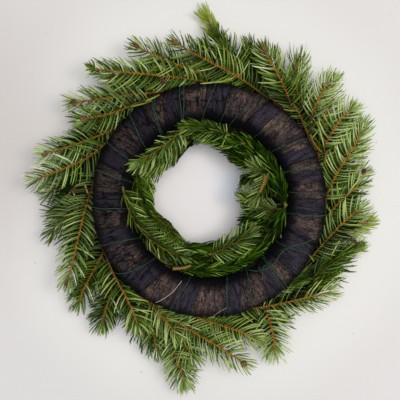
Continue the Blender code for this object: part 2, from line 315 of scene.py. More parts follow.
def stripPaint():
    # near black where two layers lie, brown straw showing through a single one
    paint = Paint("wovenStrip", 0.9, 0.08)
    along = paint.uv(0)  # millimetres round the section
    across = paint.uv(1)  # and round the ring
    shade = paint.attribute("shade")
    gloom = paint.attribute("gloom")
    # streaks that run with the folds, and blotches
    flow = paint.node("ShaderNodeCombineXYZ", None, {0: along * 0.028, 1: across * 0.16})
    streak = paint.noise(1.6, 4, flow, 0.62)
    blotch = paint.noise(60, 3, rough=0.6)
    fine = paint.noise(420, 3, rough=0.6)
    shown = paint.between(paint.attribute("single") + 0.9 * (blotch - 0.5) + 0.5 * (streak - 0.5), 0.36, 0.62)
    straw = paint.ramp(
        0.5 * streak + 0.5 * blotch + 0.6 * (fine - 0.5),
        (0.34, (0.010, 0.008, 0.010)),
        (0.46, (0.056, 0.040, 0.038)),
        (0.57, (0.128, 0.086, 0.070)),
        (0.70, (0.290, 0.170, 0.095)),
    )
    cloth = paint.ramp(
        streak + 0.5 * (fine - 0.5),
        (0.3, (0.010, 0.009, 0.013)),
        (0.7, (0.060, 0.050, 0.072)),
    )
    ground = paint.mix(shown, cloth, straw)
    # crossing threads of the mesh, 2.3 mm apart
    mesh = paint.between((along * 1.96).sine() * (across * 1.96).sine(), -0.5, 0.7)
    holes = paint.mix(0.5 * (1 - mesh), ground, (0.35, 0.33, 0.37), blend="MULTIPLY")
    weave = paint.mix(mesh * 0.27, holes, (0.086, 0.069, 0.088))
    # thin folds of painted shade, more of them where the painted shade of the left half is deeper
    crest = abs(paint.noise(1.1, 2, flow, 0.5) - 0.5)
    crossed = abs(paint.noise(38, 2) - 0.5)
    shadedFold = paint.between(crest, 0.022, 0.004) * (0.6 + 0.5 * gloom)
    patchy = paint.between(paint.noise(26, 2), 0.42, 0.58)
    shadedFold = shadedFold + paint.between(crossed, 0.030, 0.004) * patchy * (0.3 + 0.7 * gloom)
    # the strip's painted shade and the folds' painted shade, towards near black
    dark = paint.between(1 - (1 - shade) * (1 - 0.85 * shadedFold), 0.0, 1.0)
    paint.bump(0.5 * mesh + fine - 2.0 * shadedFold, 0.0010, 0.9)
    return paint.finish(paint.mix(dark, weave, (0.003, 0.0028, 0.004)))


def wirePaint():
    paint = Paint("greenWire", 0.4, 0.35)
    worn = paint.between(paint.noise(260, 3), 0.45, 0.75)
    return paint.finish(paint.mix(worn, (0.012, 0.052, 0.024), (0.036, 0.130, 0.060)))


def strawPaint():
    paint = Paint("boundStraw", 0.9)
    streak = paint.noise(300, 3)
    colour = paint.ramp(streak, (0.3, (0.30, 0.20, 0.08)), (0.7, (0.55, 0.42, 0.20)))
    paint.bump(streak, 0.0006)
    return paint.finish(colour)


def threadPaint():
    paint = Paint("paleThread", 0.6)
    fuzz = paint.noise(800, 2)
    return paint.finish(paint.mix(fuzz, (0.50, 0.42, 0.40), (0.75, 0.68, 0.66)))


def floorPaint():
    paint = Paint("paleFloor", 0.7)
    plaster = paint.mix(paint.noise(6, 3), (0.768, 0.745, 0.728), (0.815, 0.797, 0.784))
    # painted light near the wreath, cooler painted light inside the ring, painted bluish shade on its right
    middle = paint.distance((0, 0, 0))
    plaster = paint.mix(paint.between(middle, 0.27, 0.165), plaster, (0.93, 0.911, 0.883))
    plaster = paint.mix(paint.between(middle, 0.09, 0.07), plaster, (0.985, 0.96, 0.965))
    right = paint.distance((0.028, 0.012, 0))
    plaster = paint.mix(paint.between(right, 0.028, 0.01), plaster, (0.91, 0.945, 1.0))
    # a painted shadow to the left of the wreath, and small flecks
    left = paint.distance((-0.30, 0.07, 0))
    leftShadow = paint.between(left + 0.04 * (paint.noise(14, 2) - 0.5), 0.24, 0.04)
    toned = paint.mix(leftShadow, plaster, (0.68, 0.63, 0.61))
    flecks = paint.between(paint.noise(75, 2), 0.735, 0.76)
    return paint.finish(paint.mix(flecks * 0.3, toned, (0.45, 0.44, 0.43)))


# Shapes that repeat are modelled once, along +X from 0 to 1, and copied in code

def deselectAll():
    if bpy.context.mode != "OBJECT":
        bpy.ops.object.mode_set(mode="OBJECT")
    bpy.ops.object.select_all(action="DESELECT")


def pick(item, kind, test):
    # selects the vertices or faces that pass the test, and opens edit mode
    bpy.ops.object.mode_set(mode="OBJECT")
    shape = item.data
    for parts in (shape.vertices, shape.edges, shape.polygons):
        parts.foreach_set("select", np.zeros(len(parts), bool))
    parts = shape.vertices if kind == "VERT" else shape.polygons
    parts.foreach_set("select", [bool(test(part)) for part in parts])
    bpy.ops.object.mode_set(mode="EDIT")
    bpy.ops.mesh.select_mode(type=kind)


def sizeRing(item, place, wide, high):
    # scales the ring of vertices at one place along the shape
    pick(item, "VERT", lambda vert: abs(vert.co.x - place) < 1e-4)
    bpy.ops.transform.resize(value=(1, wide, high), center_override=(place, 0, 0))


def takeTemplate(item, uvOf):
    # the finished shape as arrays of points, triangles and UVs; the object goes. Points
    # and faces are put in order of place, since Blender's own order differs by run
    bpy.ops.object.mode_set(mode="EDIT")
    bpy.ops.mesh.select_all(action="SELECT")
    bpy.ops.mesh.normals_make_consistent(inside=False)
    bpy.ops.object.mode_set(mode="OBJECT")
    places = [tuple(round(value, 5) + 0.0 for value in vert.co) for vert in item.data.vertices]
    ordered = sorted(places)
    loops = [[ordered.index(places[vert]) for vert in face.vertices] for face in item.data.polygons]
    faces = []
    for loop in sorted(lowestFirst(loop) for loop in loops):
        faces += [(loop[0], second, third) for second, third in zip(loop[1:], loop[2:])]
    points = np.array(ordered)
    uvs = np.array([uvOf(points[list(face)]) for face in faces])
    bpy.data.objects.remove(item)
    return {"points": points, "faces": np.array(faces), "uvs": uvs}


def lowestFirst(corners):
    start = corners.index(min(corners))
    return corners[start:] + corners[:start]


def latest(name):
    # the object that was just added, under its name
    item = bpy.context.object
    item.name = name
    return item


def newShape(name):
    item = latest(name)
    bpy.ops.object.transform_apply(location=True, rotation=True, scale=True)
    bpy.ops.object.mode_set(mode="EDIT")
    return item


# Widths and heights at each place along a needle, as shares of its width: the near
# one has an edge on each side and a keel, the far one only three sides
needles = {
    "near": {"sides": 4, "rings": {0.0: (1.0, 0.75), 0.36: (1.0, 0.5), 0.82: (0.88, 0.4), 1.0: (0.3, 0.18)}},
    "far": {"sides": 3, "rings": {0.0: (1.0, 0.6), 0.55: (1.2, 0.5), 1.0: (0.4, 0.2)}},
}


def modelNeedle(kind):
    # a flat needle with a blunt tip
    deselectAll()
    bpy.ops.mesh.primitive_cylinder_add(
        vertices=kind["sides"], radius=0.5, depth=1, location=(0.5, 0, 0), rotation=(0, math.pi / 2, 0)
    )
    item = newShape("needleShape")
    for cut in list(kind["rings"])[1:-1]:
        bpy.ops.mesh.select_all(action="SELECT")
        bpy.ops.mesh.bisect(plane_co=(cut, 0, 0), plane_no=(1, 0, 0))
    for place, (wide, high) in kind["rings"].items():
        sizeRing(item, place, wide, high)

    def uvOf(corners):
        # across runs once round the section from one edge, with the upper face first
        middle = corners.mean(0)
        pairs = []
        for corner in corners:
            across = 0.25 - 0.25 * math.copysign(1, middle[1]) if abs(corner[1]) > 1e-4 else 0.25
            across = across if middle[2] > 0 else 1 - across
            pairs.append((across, corner[0]))
        return pairs

    return takeTemplate(item, uvOf)


twig = {
    "steps": 44,
    "sides": 8,
    "rim": 0.25,  # bark round the cut end's wood, as a share of its radius
    "knobs": (0.13, 0.07),  # how far the needles' feet swell it
    "leastAge": 0.25,
}


def modelTwig():
    # a straight rod in many short steps, with a rim of bark at its cut end
    deselectAll()
    bpy.ops.mesh.primitive_circle_add(
        vertices=twig["sides"], radius=1, fill_type="NGON", rotation=(0, math.pi / 2, 0)
    )
    item = newShape("twigShape")
    for step in range(twig["steps"]):
        move = {"value": (1 / twig["steps"], 0, 0)}
        bpy.ops.mesh.extrude_region_move(TRANSFORM_OT_translate=move)
    pick(item, "VERT", lambda vert: vert.co.x < 1e-4)
    bpy.ops.mesh.select_mode(type="FACE")
    bpy.ops.mesh.inset(thickness=twig["rim"], depth=0)

    def uvOf(corners):
        return [(math.atan2(corner[2], corner[1]) / math.tau + 0.5, corner[0]) for corner in corners]

    return takeTemplate(item, uvOf)


bud = {
    "segments": 6,
    "rings": 5,
    "fatness": 0.36,  # of its length
    "scaleInset": 0.02,
    "scaleLift": 0.05,
}


def modelBud():
    # a pointed egg whose scales are raised in a chequered pattern
    deselectAll()
    bpy.ops.mesh.primitive_uv_sphere_add(
        segments=bud["segments"], ring_count=bud["rings"], radius=0.5, location=(0.5, 0, 0),
        rotation=(0, math.pi / 2, 0),
    )
    item = newShape("budShape")
    bpy.ops.mesh.select_all(action="SELECT")
    fat = 2 * bud["fatness"]
    bpy.ops.transform.resize(value=(1, fat, fat), center_override=(0.5, 0, 0))
    pick(item, "FACE", lambda face: isRaised(face.center))
    bpy.ops.mesh.inset(thickness=bud["scaleInset"], depth=bud["scaleLift"], use_individual=True)
    return takeTemplate(item, lambda corners: [(corner[1], corner[0]) for corner in corners])


def isRaised(middle):
    ringNumber = int(math.acos(1 - 2 * middle.x) / math.pi * bud["rings"])
    segment = int(math.atan2(middle.z, middle.y) % math.tau / math.tau * bud["segments"])
    return (ringNumber + segment) % 2 == 0


# The shapes and, in the same order, their materials
shapes = {
    "near": modelNeedle(needles["near"]),
    "twig": modelTwig(),
    "bud": modelBud(),
    "far": modelNeedle(needles["far"]),
}
skins = (needlePaint("firNeedle", 0.02), twigPaint(), budPaint(), needlePaint("farNeedle", 0.0))
for slot, shape in enumerate(shapes.values()):
    shape["slot"] = slot


def layCopies(template, origins, ahead, side, up, tone, pale, young, bend=None):
    # copies of a template, each with its own place, axes, bend and values
    points = template["points"]
    along, across, high = (points[:, axis][None, :, None] for axis in range(3))
    places = origins[:, None, :] + along * ahead[:, None, :]
    places = places + across * side[:, None, :] + high * up[:, None, :]
    if bend is not None:
        places = places + along**2 * bend[:, None, :]
    count = len(origins)
    size = len(points)
    faces = template["faces"][None] + size * np.arange(count)[:, None, None]
    chunk = {
        "points": places.reshape(-1, 3),
        "faces": faces.reshape(-1, 3),
        "uvs": np.tile(template["uvs"].reshape(-1, 2), (count, 1)),
        "slot": template["slot"],
    }
    for name, value in (("tone", tone), ("pale", pale), ("young", young)):
        chunk[name] = np.repeat(np.broadcast_to(value, count), size)
    return chunk


def addValues(mesh, name, values):
    # one number for each vertex, which a material reads by its name
    attribute = mesh.attributes.new(name, "FLOAT", "POINT")
    attribute.data.foreach_set("value", values)


def buildPiece(name, chunks):
    # one mesh out of many copies, with their values as attributes
    def joined(key):
        return np.concatenate([chunk[key] for chunk in chunks])

    starts = np.cumsum([0] + [len(chunk["points"]) for chunk in chunks])
    points = joined("points")
    faces = np.vstack([chunk["faces"] + start for chunk, start in zip(chunks, starts)])
    slots = np.concatenate([np.full(len(chunk["faces"]), chunk["slot"]) for chunk in chunks])
    mesh = bpy.data.meshes.new(name)
    mesh.vertices.add(len(points))
    mesh.vertices.foreach_set("co", points.ravel())
    mesh.loops.add(faces.size)
    mesh.loops.foreach_set("vertex_index", faces.ravel())
    mesh.polygons.add(len(faces))
    mesh.polygons.foreach_set("loop_start", np.arange(0, faces.size, 3))
    mesh.polygons.foreach_set("material_index", slots)
    mesh.update(calc_edges=True)
    mesh.polygons.foreach_set("use_smooth", np.isin(slots, (1, 2)))  # twigs and buds
    layer = mesh.uv_layers.new(name="UVMap")
    layer.data.foreach_set("uv", joined("uvs").ravel())
    for key in ("tone", "pale", "young"):
        addValues(mesh, key, joined(key))
    for skin in skins:
        mesh.materials.append(skin)
    item = bpy.data.objects.new(name, mesh)
    bpy.context.scene.collection.objects.link(item)
    return item


# Sprigs: the wire turn that ties each, its lane round the ring's section, its tip's
# angle, reach from the ring's axis (mm), lean from the radius and height (mm), as
# in the solids, and the letter of its look
outerSprigs = [
    (5, -38, 116, 184, 38, 44, "f"),
    (4, -22, 103, 175, 44, 46, "f"),
    (4, -84, 91.5, 205, 30, 13, "y"),
    (4, -54, 88, 184, 28, 29, "f"),
    (3, -68, 76, 176, 30, 27, "f"),
    (2, -22, 71, 174, 46, 45, "f"),
    (2, -54, 58.5, 183, 30, 30, "f"),
    (1, -38, 44, 186, 32, 44, "g"),
    (0, -54, 33, 186, 36, 30, "g"),
    (0, -22, 25, 182, 40, 45, "g"),
    (-1, -68, 11, 174, 22, 28, "f"),
    (-1, -38, 7, 165, 36, 44, "g"),
    (-2, -22, -2, 165, 40, 45, "g"),
    (-2, -84, -6, 184, 34, 14, "y"),
    (-4, -54, -17, 172, 46, 30, "t"),
    (-5, -38, -36, 165, 50, 43, "d"),
    (-6, -84, -67, 183, 4, 15, "f"),
    (-7, -38, -70, 160, 44, 44, "f"),
    (-8, -22, -77, 181, 42, 45, "g"),
    (-9, -38, -102, 152, 46, 44, "g"),
    (-8, -54, -97, 203, 24, 29, "g"),
    (-10, -22, -118, 158, 44, 45, "f"),
    (-9, -68, -108, 178, 30, 27, "f"),
    (-10, -54, -130, 182, 28, 30, "f"),
    (-11, -68, -141, 184, 32, 27, "f"),
    (11, -38, -149, 178, 42, 44, "g"),
    (11, -68, -167, 179, 36, 28, "d"),
    (10, -22, 174, 190, 28, 45, "g"),
    (9, -38, 165, 185, 32, 43, "g"),
    (8, -22, 148, 163, 36, 46, "g"),
    (7, -38, 145, 181, 42, 43, "g"),
    (6, -22, 132, 189, 40, 46, "f"),
    (10, -84, 178, 180, 30, 14, "f"),
    (6, -84, 118, 166, 34, 15, "f"),
    (-9, -84, -95, 170, 32, 15, "f"),
]
innerSprigs = [
    (7, -142, 151, 73, 88, 36, "f"),
    (4, -130, 106, 71, 88, 29, "d"),
    (9, -130, 181, 68, 96, 30, "d"),
    (0, -158, 68, 72, 90, 38, "d"),
    (-1, -120, 25, 60, 82, 25, "f"),
    (-3, -142, -8, 73, 84, 35, "d"),
    (-6, -120, -30, 56, 92, 24, "f"),
    (-8, -158, -32, 73, 84, 38, "d"),
    (-12, -158, -119, 70, 96, 38, "d"),
    (-11, -120, -126, 60, 98, 25, "d"),
]
faceSprigs = {
    "ties": range(-11, 12, 2),
    "lanes": (-106, -98),
    "reaches": (98, 128),
    "sweep": 46,
    "lean": 74,
    "height": 13,
}
sprig = {
    "wireStep": 15,  # degrees between turns of the wire, as the solids have them
    "stemLift": 0.00505,
    "tied": 0.018,
    "tiedPast": 0.002,
    "tiedSteps": 4,
    "leaveSlope": 0.22,
    "innerLeaveSlope": 0.42,
    "innerLane": -110,
    "pull": 0.36,
    "curveSteps": 40,
    "budLength": 0.0065,
    "bare": 0.004,  # bare stem past the tie
    "radii": (0.00125, 0.00085),  # at the root and at the tip
    "age": 0.8,  # of the bark at the root
    "needleLength": 0.024,
    "lengthSpread": (0.88, 1.08),
    "needleWidth": 0.0015,
    "widthSpread": (0.85, 1.1),
    "stepSpread": (-0.4, 0.4),  # of a needle's place, in steps
    "endGap": 0.001,  # last part of the twig, left to the tuft
    "footSpacing": 0.0026,
    "lengthAlong": ((0.0, 0.8), (0.3, 1.0), (0.8, 0.95), (1.0, 0.75)),
    "angleAlong": ((0.0, 76.0), (0.5, 68.0), (0.85, 55.0), (1.0, 38.0)),  # from the twig
    "angleSpread": 4.5,
    "strays": 0.08,  # how often a needle stands askew, and by how many times more
    "strayTimes": 4,
    "curl": (0.14, 0.34),  # of the tip towards the twig's, over the needle's length
    "curlProbes": (0.35, 0.7, 1.0),  # places along a needle that are looked at for the ring
    "twist": 28.0,
}

# Ranks of needles along a twig, from the side that faces the camera to the far one,
# and two more that cover the twig: how far apart they stand, lowest and highest tilt,
# share of the full length, share of the usual angle, share of the twig that bears
# them, tone made lighter near the camera and darker further down as painted light and
# shade, its spread, paleness, and how far the roots stand out of the twig towards the
# camera, as a share of its radius
usualRanks = 4
ranks = list(table(
    "shape step tilts share sweep reach tone spread pale stand",
    top=("near", 0.0033, (-4, 12), 1.0, 1.0, 1.0, 0.22, 1.3, 1.0, 1.0),
    side=("near", 0.0033, (-30, -10), 0.92, 0.96, 0.9, -0.22, 1.2, 0.3, 0.2),
    low=("far", 0.0019, (-70, -32), 0.70, 0.85, 0.78, -0.5, 0.5, 0.0, 0.0),
    beneath=("far", 0.0021, (-125, -70), 0.62, 0.62, 0.6, -0.6, 0.3, 0.0, 0.0),
    cover=("near", 0.0026, (22, 60), 0.85, 0.66, 1.0, 0.0, 1.2, 0.3, 1.2),
    crest=("near", 0.0022, (58, 92), 0.78, 0.42, 1.0, 0.0, 1.2, 0.3, 1.2),
).values())

# Middle and spread of the tone, paleness of the underside, youth, and how far the
# needles stand off the twig, as a share of the usual angle
looks = table(
    "tone spread pale young sweep",
    g=(0.54, 0.24, 0.60, 0.08, 1.0),  # grey-green
    f=(0.52, 0.25, 0.34, 0.20, 1.0),  # fresh green
    d=(0.36, 0.22, 0.10, 0.05, 0.85),  # deep green
    y=(0.66, 0.18, 0.30, 0.85, 0.9),  # young and yellowish
    u=(0.26, 0.16, 0.0, 0.15, 1.0),  # dark with painted shade, low in the wreath
    t=(0.38, 0.27, 0.0, 0.0, 0.6),  # thick, inside the ring
    p=(0.46, 0.30, 0.85, 0.0, 0.8),  # pale side up
)

# How fine and how long the needles are, as shares of the usual ones, how many ranks
# cover the twig, how olive the twig is, and how much painted shade darkens the needles
sizes = table(
    "fine long cover olive shaded",
    outer=(1.0, 1.0, 0, 0.0, 0.0),
    inner=(0.86, 0.81, 1, 0.85, 0.12),
    over=(1.0, 1.0, 0, 0.0, 0.0),
    under=(1.15, 0.95, 0, 0.3, 0.0),
)

# Pieces that differ from their look and size: also how often they fork, how much of
# the twig is bare, how long the tuft at the tip is, how curled the needles are, and
# what share of them stands on each side
apart = {
    "outerSprig03": dict(long=0.78, forks=0.0, bare=0.42, sweep=0.7, tuft=1.5, young=1.0, tone=0.7),
    "outerSprig04": dict(tone=0.42, pale=0.30, young=0.0, long=0.9, sweep=0.75, cover=1),
    "outerSprig05": dict(tone=0.42, pale=0.30, sweep=0.75, cover=1),
    "outerSprig07": dict(sides=(0.1, 1.0), forks=0.0, curled=2.0, tone=0.6, tuft=0.6),
    "outerSprig08": dict(forks=0.3),
    "outerSprig14": dict(long=0.86, tuft=0.75, forks=0.6),
    "outerSprig15": dict(long=0.95, forks=0.0, sweep=0.55, tone=0.50, pale=0.3, cover=2),
    "outerSprig16": dict(
        tone=0.56, pale=0.5, forks=0.0, young=0.2, sides=(0.5, 1.0), fine=0.85, sweep=0.9
    ),
    "outerSprig17": dict(forks=0.0, long=0.88),
    "outerSprig21": dict(pale=0.9),
    "outerSprig22": dict(tone=0.44, pale=0.2),
    "outerSprig23": dict(tone=0.44, pale=0.2, long=0.85, forks=0.5),
    "outerSprig24": dict(tone=0.46, pale=0.2),
    "outerSprig25": dict(pale=0.35, tone=0.48),
    "outerSprig27": dict(pale=0.35, tone=0.48, long=0.9),
    "outerSprig28": dict(pale=0.35),
    "outerSprig31": dict(forks=0.3),
    "outerSprig32": dict(long=0.9, young=0.2, forks=0.0, tuft=0.4, curled=1.4),
    "innerShoot07": dict(sides=(0.5, 1)),
    "innerShoot18": dict(sides=(1, 0.25)),
    "innerShoot23": dict(sides=(1, 0.45)),
    "innerShoot31": dict(cover=2, olive=1.0),
    "overShoot01": dict(
        sides=(0.3, 1), forks=0.0, curled=1.8, tuft=0.4, tone=0.64, cover=1, fine=0.8
    ),
    "overShoot02": dict(sides=(0.8, 0.8)),
    "overShoot03": dict(sides=(1, 0.7)),
    "overShoot06": dict(sides=(0.6, 1)),
    "overShoot07": dict(forks=0.0, tuft=0.5),
    "overShoot08": dict(forks=0.0, tuft=0.6, tone=0.46, pale=0.3, long=1.12),
    "overShoot09": dict(sides=(0.7, 1), forks=0.0, tuft=0.6, long=0.95, pale=0.35),
    "overShoot10": dict(forks=0.0, tuft=1.1, long=0.5, young=0.45, tone=0.5, cover=2),
}

# How light the needles are by where they grow, in painted light and shade
shading = {
    # painted light and shade by the angle round the ring, as in the photo: inside it, beside
    # it and at the tips
    "around": (
        (0, -0.09, 0.0, 0.08), (20, -0.16, 0.06, 0.22), (33, -0.13, -0.08, 0.34),
        (42, -0.07, -0.26, 0.40), (55, -0.09, -0.57, 0.15), (68, -0.04, -0.30, -0.11),
        (77, 0.0, 0.0, -0.16), (95, 0.04, 0.15, -0.17), (110, 0.04, -0.12, -0.09),
        (130, 0.05, -0.08, 0.05), (155, 0.18, -0.31, 0.02), (172, 0.12, -0.51, -0.07),
        (187, -0.02, 0.0, -0.38), (200, -0.04, 0.0, 0.03), (215, 0.06, 0.0, -0.04),
        (227, 0.10, -0.02, -0.17), (245, -0.05, -0.05, 0.12), (262, -0.07, 0.09, -0.01),
        (275, -0.07, 0.26, 0.11), (287, -0.08, 0.24, 0.32), (305, -0.10, 0.10, 0.35),
        (322, -0.28, -0.14, 0.21), (340, -0.20, -0.59, 0.21), (360, -0.09, 0.0, 0.08),
    ),
    # distances from the ring's axis, or heights, where each starts and how far it runs
    "tips": (0.138, 0.016),
    "deep": (0.166, -0.03),
    "low": (0.046, -0.024),
    "edge": (0.142, 0.018),
    "deepShade": 0.50,  # painted shade taken off the needles that are both deep in the wreath and low
    "edgeLight": 0.32,  # least tone near the sprigs' tips: painted light from the floor
    "leastTone": 0.02,
    "swing": 1.5,  # of the tone to each side, as so many times its spread
    "paleness": (0.1, 1.4),  # of each needle, as shares of its sprig's
    "paintedGlint": 0.10,  # share of the nearest needles that get a painted highlight
    "paintedGlintFrom": 0.148,
}


def tieAngle(tie, lane):
    return sprig["wireStep"] * (tie + (lane - ring["firstCorner"]) / 360)


def twigCurve(row):
    # tied along the ring first, then a Bezier curve out to the tip
    tie, lane, tipAngle, tipReach, lean, tipHeight = row[:6]
    angle = tieAngle(tie, lane)
    degrees = math.degrees(1 / sectionPoint(lane, sprig["stemLift"])[0])
    reaches = np.linspace(-sprig["tied"], sprig["tiedPast"], sprig["tiedSteps"] + 1)
    tied = ringPoints(angle + reaches * degrees, lane, sprig["stemLift"], sectionPoint)
    slope = sprig["innerLeaveSlope"] if lane < sprig["innerLane"] else sprig["leaveSlope"]
    step = 0.001
    foot, over = (
        ringPoints(angle, lane, sprig["stemLift"] + more, sectionPoint) for more in (0, step)
    )
    heading = unit(unit(tied[-1] - tied[-2]) + slope * (over - foot) / step)
    turn = math.radians(tipAngle)
    reach = tipReach / 1000
    x, y = ring["centre"].x, ring["centre"].y
    tip = np.array([x + reach * math.cos(turn), y + reach * math.sin(turn), tipHeight / 1000])
    tipTurn = math.radians(tipAngle + lean)
    tipHeading = np.array([math.cos(tipTurn), math.sin(tipTurn), 0])
    tip = tip - sprig["budLength"] * tipHeading
    return np.vstack([tied, bezier(tied[-1], heading, tip, tipHeading)])


def bezier(start, heading, tip, tipHeading):
    pull = sprig["pull"] * np.linalg.norm(tip - start)
    controls = np.array([start, start + pull * heading, tip - pull * tipHeading, tip])
    share = np.arange(1, sprig["curveSteps"] + 1)[:, None] / sprig["curveSteps"]
    rest = 1 - share
    return np.hstack([rest**3, 3 * rest**2 * share, 3 * rest * share**2, share**3]) @ controls


def along(curve):
    # reach of each point along the curve
    return np.concatenate([[0], np.cumsum(np.linalg.norm(np.diff(curve, axis=0), axis=1))])


def interpRows(reaches, lengths, rows):
    return np.stack([np.interp(reaches, lengths, rows[:, axis]) for axis in range(3)], axis=-1)


def framesAt(curve, reaches):
    # places on the curve with their headings, leftward and upright directions
    lengths = along(curve)
    heads = unit(interpRows(reaches, lengths, unit(np.gradient(curve, axis=0))))
    up = unit(upward - heads[:, 2:3] * heads)
    return interpRows(reaches, lengths, curve), heads, np.cross(up, heads), up


clear = {
    "lift": 0.0036,  # of the needles off the core
    "holeOffset": (-0.0095, 0.0085),  # of the clear hole's middle from the ring's axis
    # angle round that middle and how far, in millimetres, nothing grows
    "holeEdge": (
        (0, 34), (14, 43), (30, 46), (60, 43), (90, 51), (108, 47), (135, 37), (150, 43), (180, 46),
        (200, 51), (225, 44), (250, 52), (275, 54), (300, 50), (330, 46), (348, 37), (360, 34),
    ),
    "floor": 0.0005,
    "top": 0.0725,
    "shorter": (1.0, 0.8, 0.62, 0.46),  # shares of its length that a needle is cut to
}


def blocked(points):
    # true where a point lies in the wrapped ring or in the clear hole
    x, y = offAxis(points)
    wide = (np.hypot(x, y) - ring["radius"]) / (ring["halfWide"] + clear["lift"])
    high = (points[..., 2] - ring["centre"].z) / (ring["halfHigh"] + clear["lift"])
    inRing = wide**2 + high**2 < 1
    across, up = x - clear["holeOffset"][0], y - clear["holeOffset"][1]
    angles, reaches = np.array(clear["holeEdge"], float).T
    edge = np.interp(np.degrees(np.arctan2(up, across)) % 360, angles, reaches) / 1000
    return inRing | (np.hypot(across, up) < edge)


def fittedLengths(roots, lengths, ahead, curl, toTip):
    # the length at which each needle is clear of the ring and the hole, or 0 for none
    fitted = np.zeros(len(roots))
    for shorter in clear["shorter"]:
        length = (lengths * shorter)[:, None]
        inside = np.zeros(len(roots), bool)
        for share in sprig["curlProbes"]:
            inside |= blocked(roots + length * (share * ahead + share**2 * curl * toTip))
        fitted = np.where(~inside & (fitted == 0), length[:, 0], fitted)
    return fitted


def needleTones(roots, look, rank, swing):
    # by the look and the rank, and by where the needles grow: the rank and the place add painted light and
    # shade
    x, y = offAxis(roots)
    reach = np.hypot(x, y)
    angles, *columns = np.array(shading["around"], float).T
    turn = np.degrees(np.arctan2(y, x)) % 360
    inside, beside, tips = (np.interp(turn, angles, column) for column in columns)
    outside = beside + (tips - beside) * ramp(reach, *shading["tips"])
    deep = ramp(reach, *shading["deep"]) * ramp(roots[:, 2], *shading["low"])
    tone = look["tone"] + look["spread"] * swing + look["lift"] + rank["tone"]
    tone = tone - shading["deepShade"] * deep - look["shaded"]
    tone = tone + np.where(reach < ring["radius"], inside, outside)
    return np.maximum(tone, shading["edgeLight"] * ramp(reach, *shading["edge"]))


def needleChunk(frames, tilts, angles, lengths, widths, look, rank, draws):
    # needles from their roots: tilted round the twig, then swept towards its tip
    roots, heads, lefts, ups = frames
    tilt = np.radians(tilts)[:, None]
    out = np.cos(tilt) * lefts + np.sin(tilt) * ups
    angle = np.radians(angles)[:, None]
    ahead = np.cos(angle) * heads + np.sin(angle) * out
    toTip = unit(heads - (heads * ahead).sum(1, keepdims=True) * ahead)
    curl = draws.uniform(*sprig["curl"], len(roots))[:, None] * look.get("curled", 1)
    length = fittedLengths(roots, lengths, ahead, curl, toTip)
    keep = length > 0
    length, wide = length[keep][:, None], widths[keep][:, None]
    ahead, toTip, curl = ahead[keep], toTip[keep], curl[keep]
    # the needle's upper face looks away from the camera, as the sprig's does
    upper = np.cross(ahead, toTip)
    upper *= -np.sign((upper * ups[keep]).sum(1, keepdims=True) + 1e-9)
    turn = np.radians(draws.normal(0, sprig["twist"], len(roots)))[keep][:, None]
    upper = unit(np.cos(turn) * upper + np.sin(turn) * toTip)
    roots = roots[keep]
    count = len(roots)
    widest = shading["swing"]
    swing = rank["spread"] * draws.uniform(-widest, widest, count)
    tone = needleTones(roots, look, rank, swing)
    pale = look["pale"] * rank["pale"] * draws.uniform(*shading["paleness"], count)
    pale = np.clip(pale, 0, 1)
    # a paleness of 2 marks the few near the tips that get a painted highlight
    paintedGlint = swing > widest * rank["spread"] * (1 - 2 * shading["paintedGlint"])
    paintedGlint &= (np.hypot(*offAxis(roots)) > shading["paintedGlintFrom"]) & (rank is ranks[0])
    return layCopies(
        shapes[rank["shape"]], roots, length * ahead, wide * np.cross(upper, ahead), wide * upper,
        np.clip(tone, shading["leastTone"], 1), np.where(paintedGlint, 2, pale), look["young"],
        length * curl * toTip,
    )


def growNeedles(curve, start, look, draws):
    # both sides of each rank, along the twig from start on
    total = along(curve)[-1]
    lengthPlaces, lengthShares = zip(*sprig["lengthAlong"])
    anglePlaces, angleValues = zip(*sprig["angleAlong"])
    chunks = []
    for rank in ranks[:usualRanks + look["cover"]]:
        for side, kept in zip((1, -1), look.get("sides", (1, 1))):
            step = rank["step"] * look["fine"]
            reaches = np.arange(start, start + (total - start) * rank["reach"] - sprig["endGap"], step)
            reaches = reaches + draws.uniform(*sprig["stepSpread"], len(reaches)) * step
            reaches = reaches[draws.uniform(size=len(reaches)) < kept]
            share = np.clip((reaches - start) / (total - start), 0, 1)
            places, heads, lefts, ups = framesAt(curve, reaches)
            count = len(reaches)
            lengths = sprig["needleLength"] * rank["share"] * np.interp(share, lengthPlaces, lengthShares)
            lengths = lengths * draws.uniform(*sprig["lengthSpread"], count) * look["long"]
            angles = np.interp(share, anglePlaces, angleValues)
            stray = 1 + sprig["strayTimes"] * (draws.uniform(size=count) < sprig["strays"])
            angles = angles + draws.normal(0, sprig["angleSpread"], count) * stray
            angles = angles * rank["sweep"] * look["sweep"]
            tilts = draws.uniform(*rank["tilts"], count)
            widths = sprig["needleWidth"] * draws.uniform(*sprig["widthSpread"], count) * look["fine"]
            frames = (places + rank["stand"] * sprig["radii"][1] * ups, heads, side * lefts, ups)
            chunks.append(needleChunk(frames, tilts, angles, lengths, widths, look, rank, draws))
    return chunks


tuft = {
    "count": 22,
    "depth": 0.005,  # how far back along the twig its needles start
    "around": (-235, 55),  # round the bud, except for the side that faces the camera
    "sway": 8,
    "angles": (16, 50),
    "lengths": (0.5, 0.8),
    "widths": (0.8, 1.0),
    "budsApart": (32, 55),
    "smaller": (0.65, 0.9),  # the two buds at the sides
    "budRise": 0.3,
}


def tipTuft(curve, look, draws):
    # needles all round the tip
    count = tuft["count"]
    reaches = along(curve)[-1] - draws.uniform(0.0, tuft["depth"], count)
    around = np.linspace(*tuft["around"], count) + draws.uniform(-tuft["sway"], tuft["sway"], count)
    angles = draws.uniform(*tuft["angles"], count)
    lengths = sprig["needleLength"] * draws.uniform(*tuft["lengths"], count)
    lengths = lengths * look["long"] * look.get("tuft", 1)
    widths = sprig["needleWidth"] * draws.uniform(*tuft["widths"], count) * look["fine"]
    frames = framesAt(curve, reaches)
    return needleChunk(frames, around, angles, lengths, widths, look, ranks[0], draws)


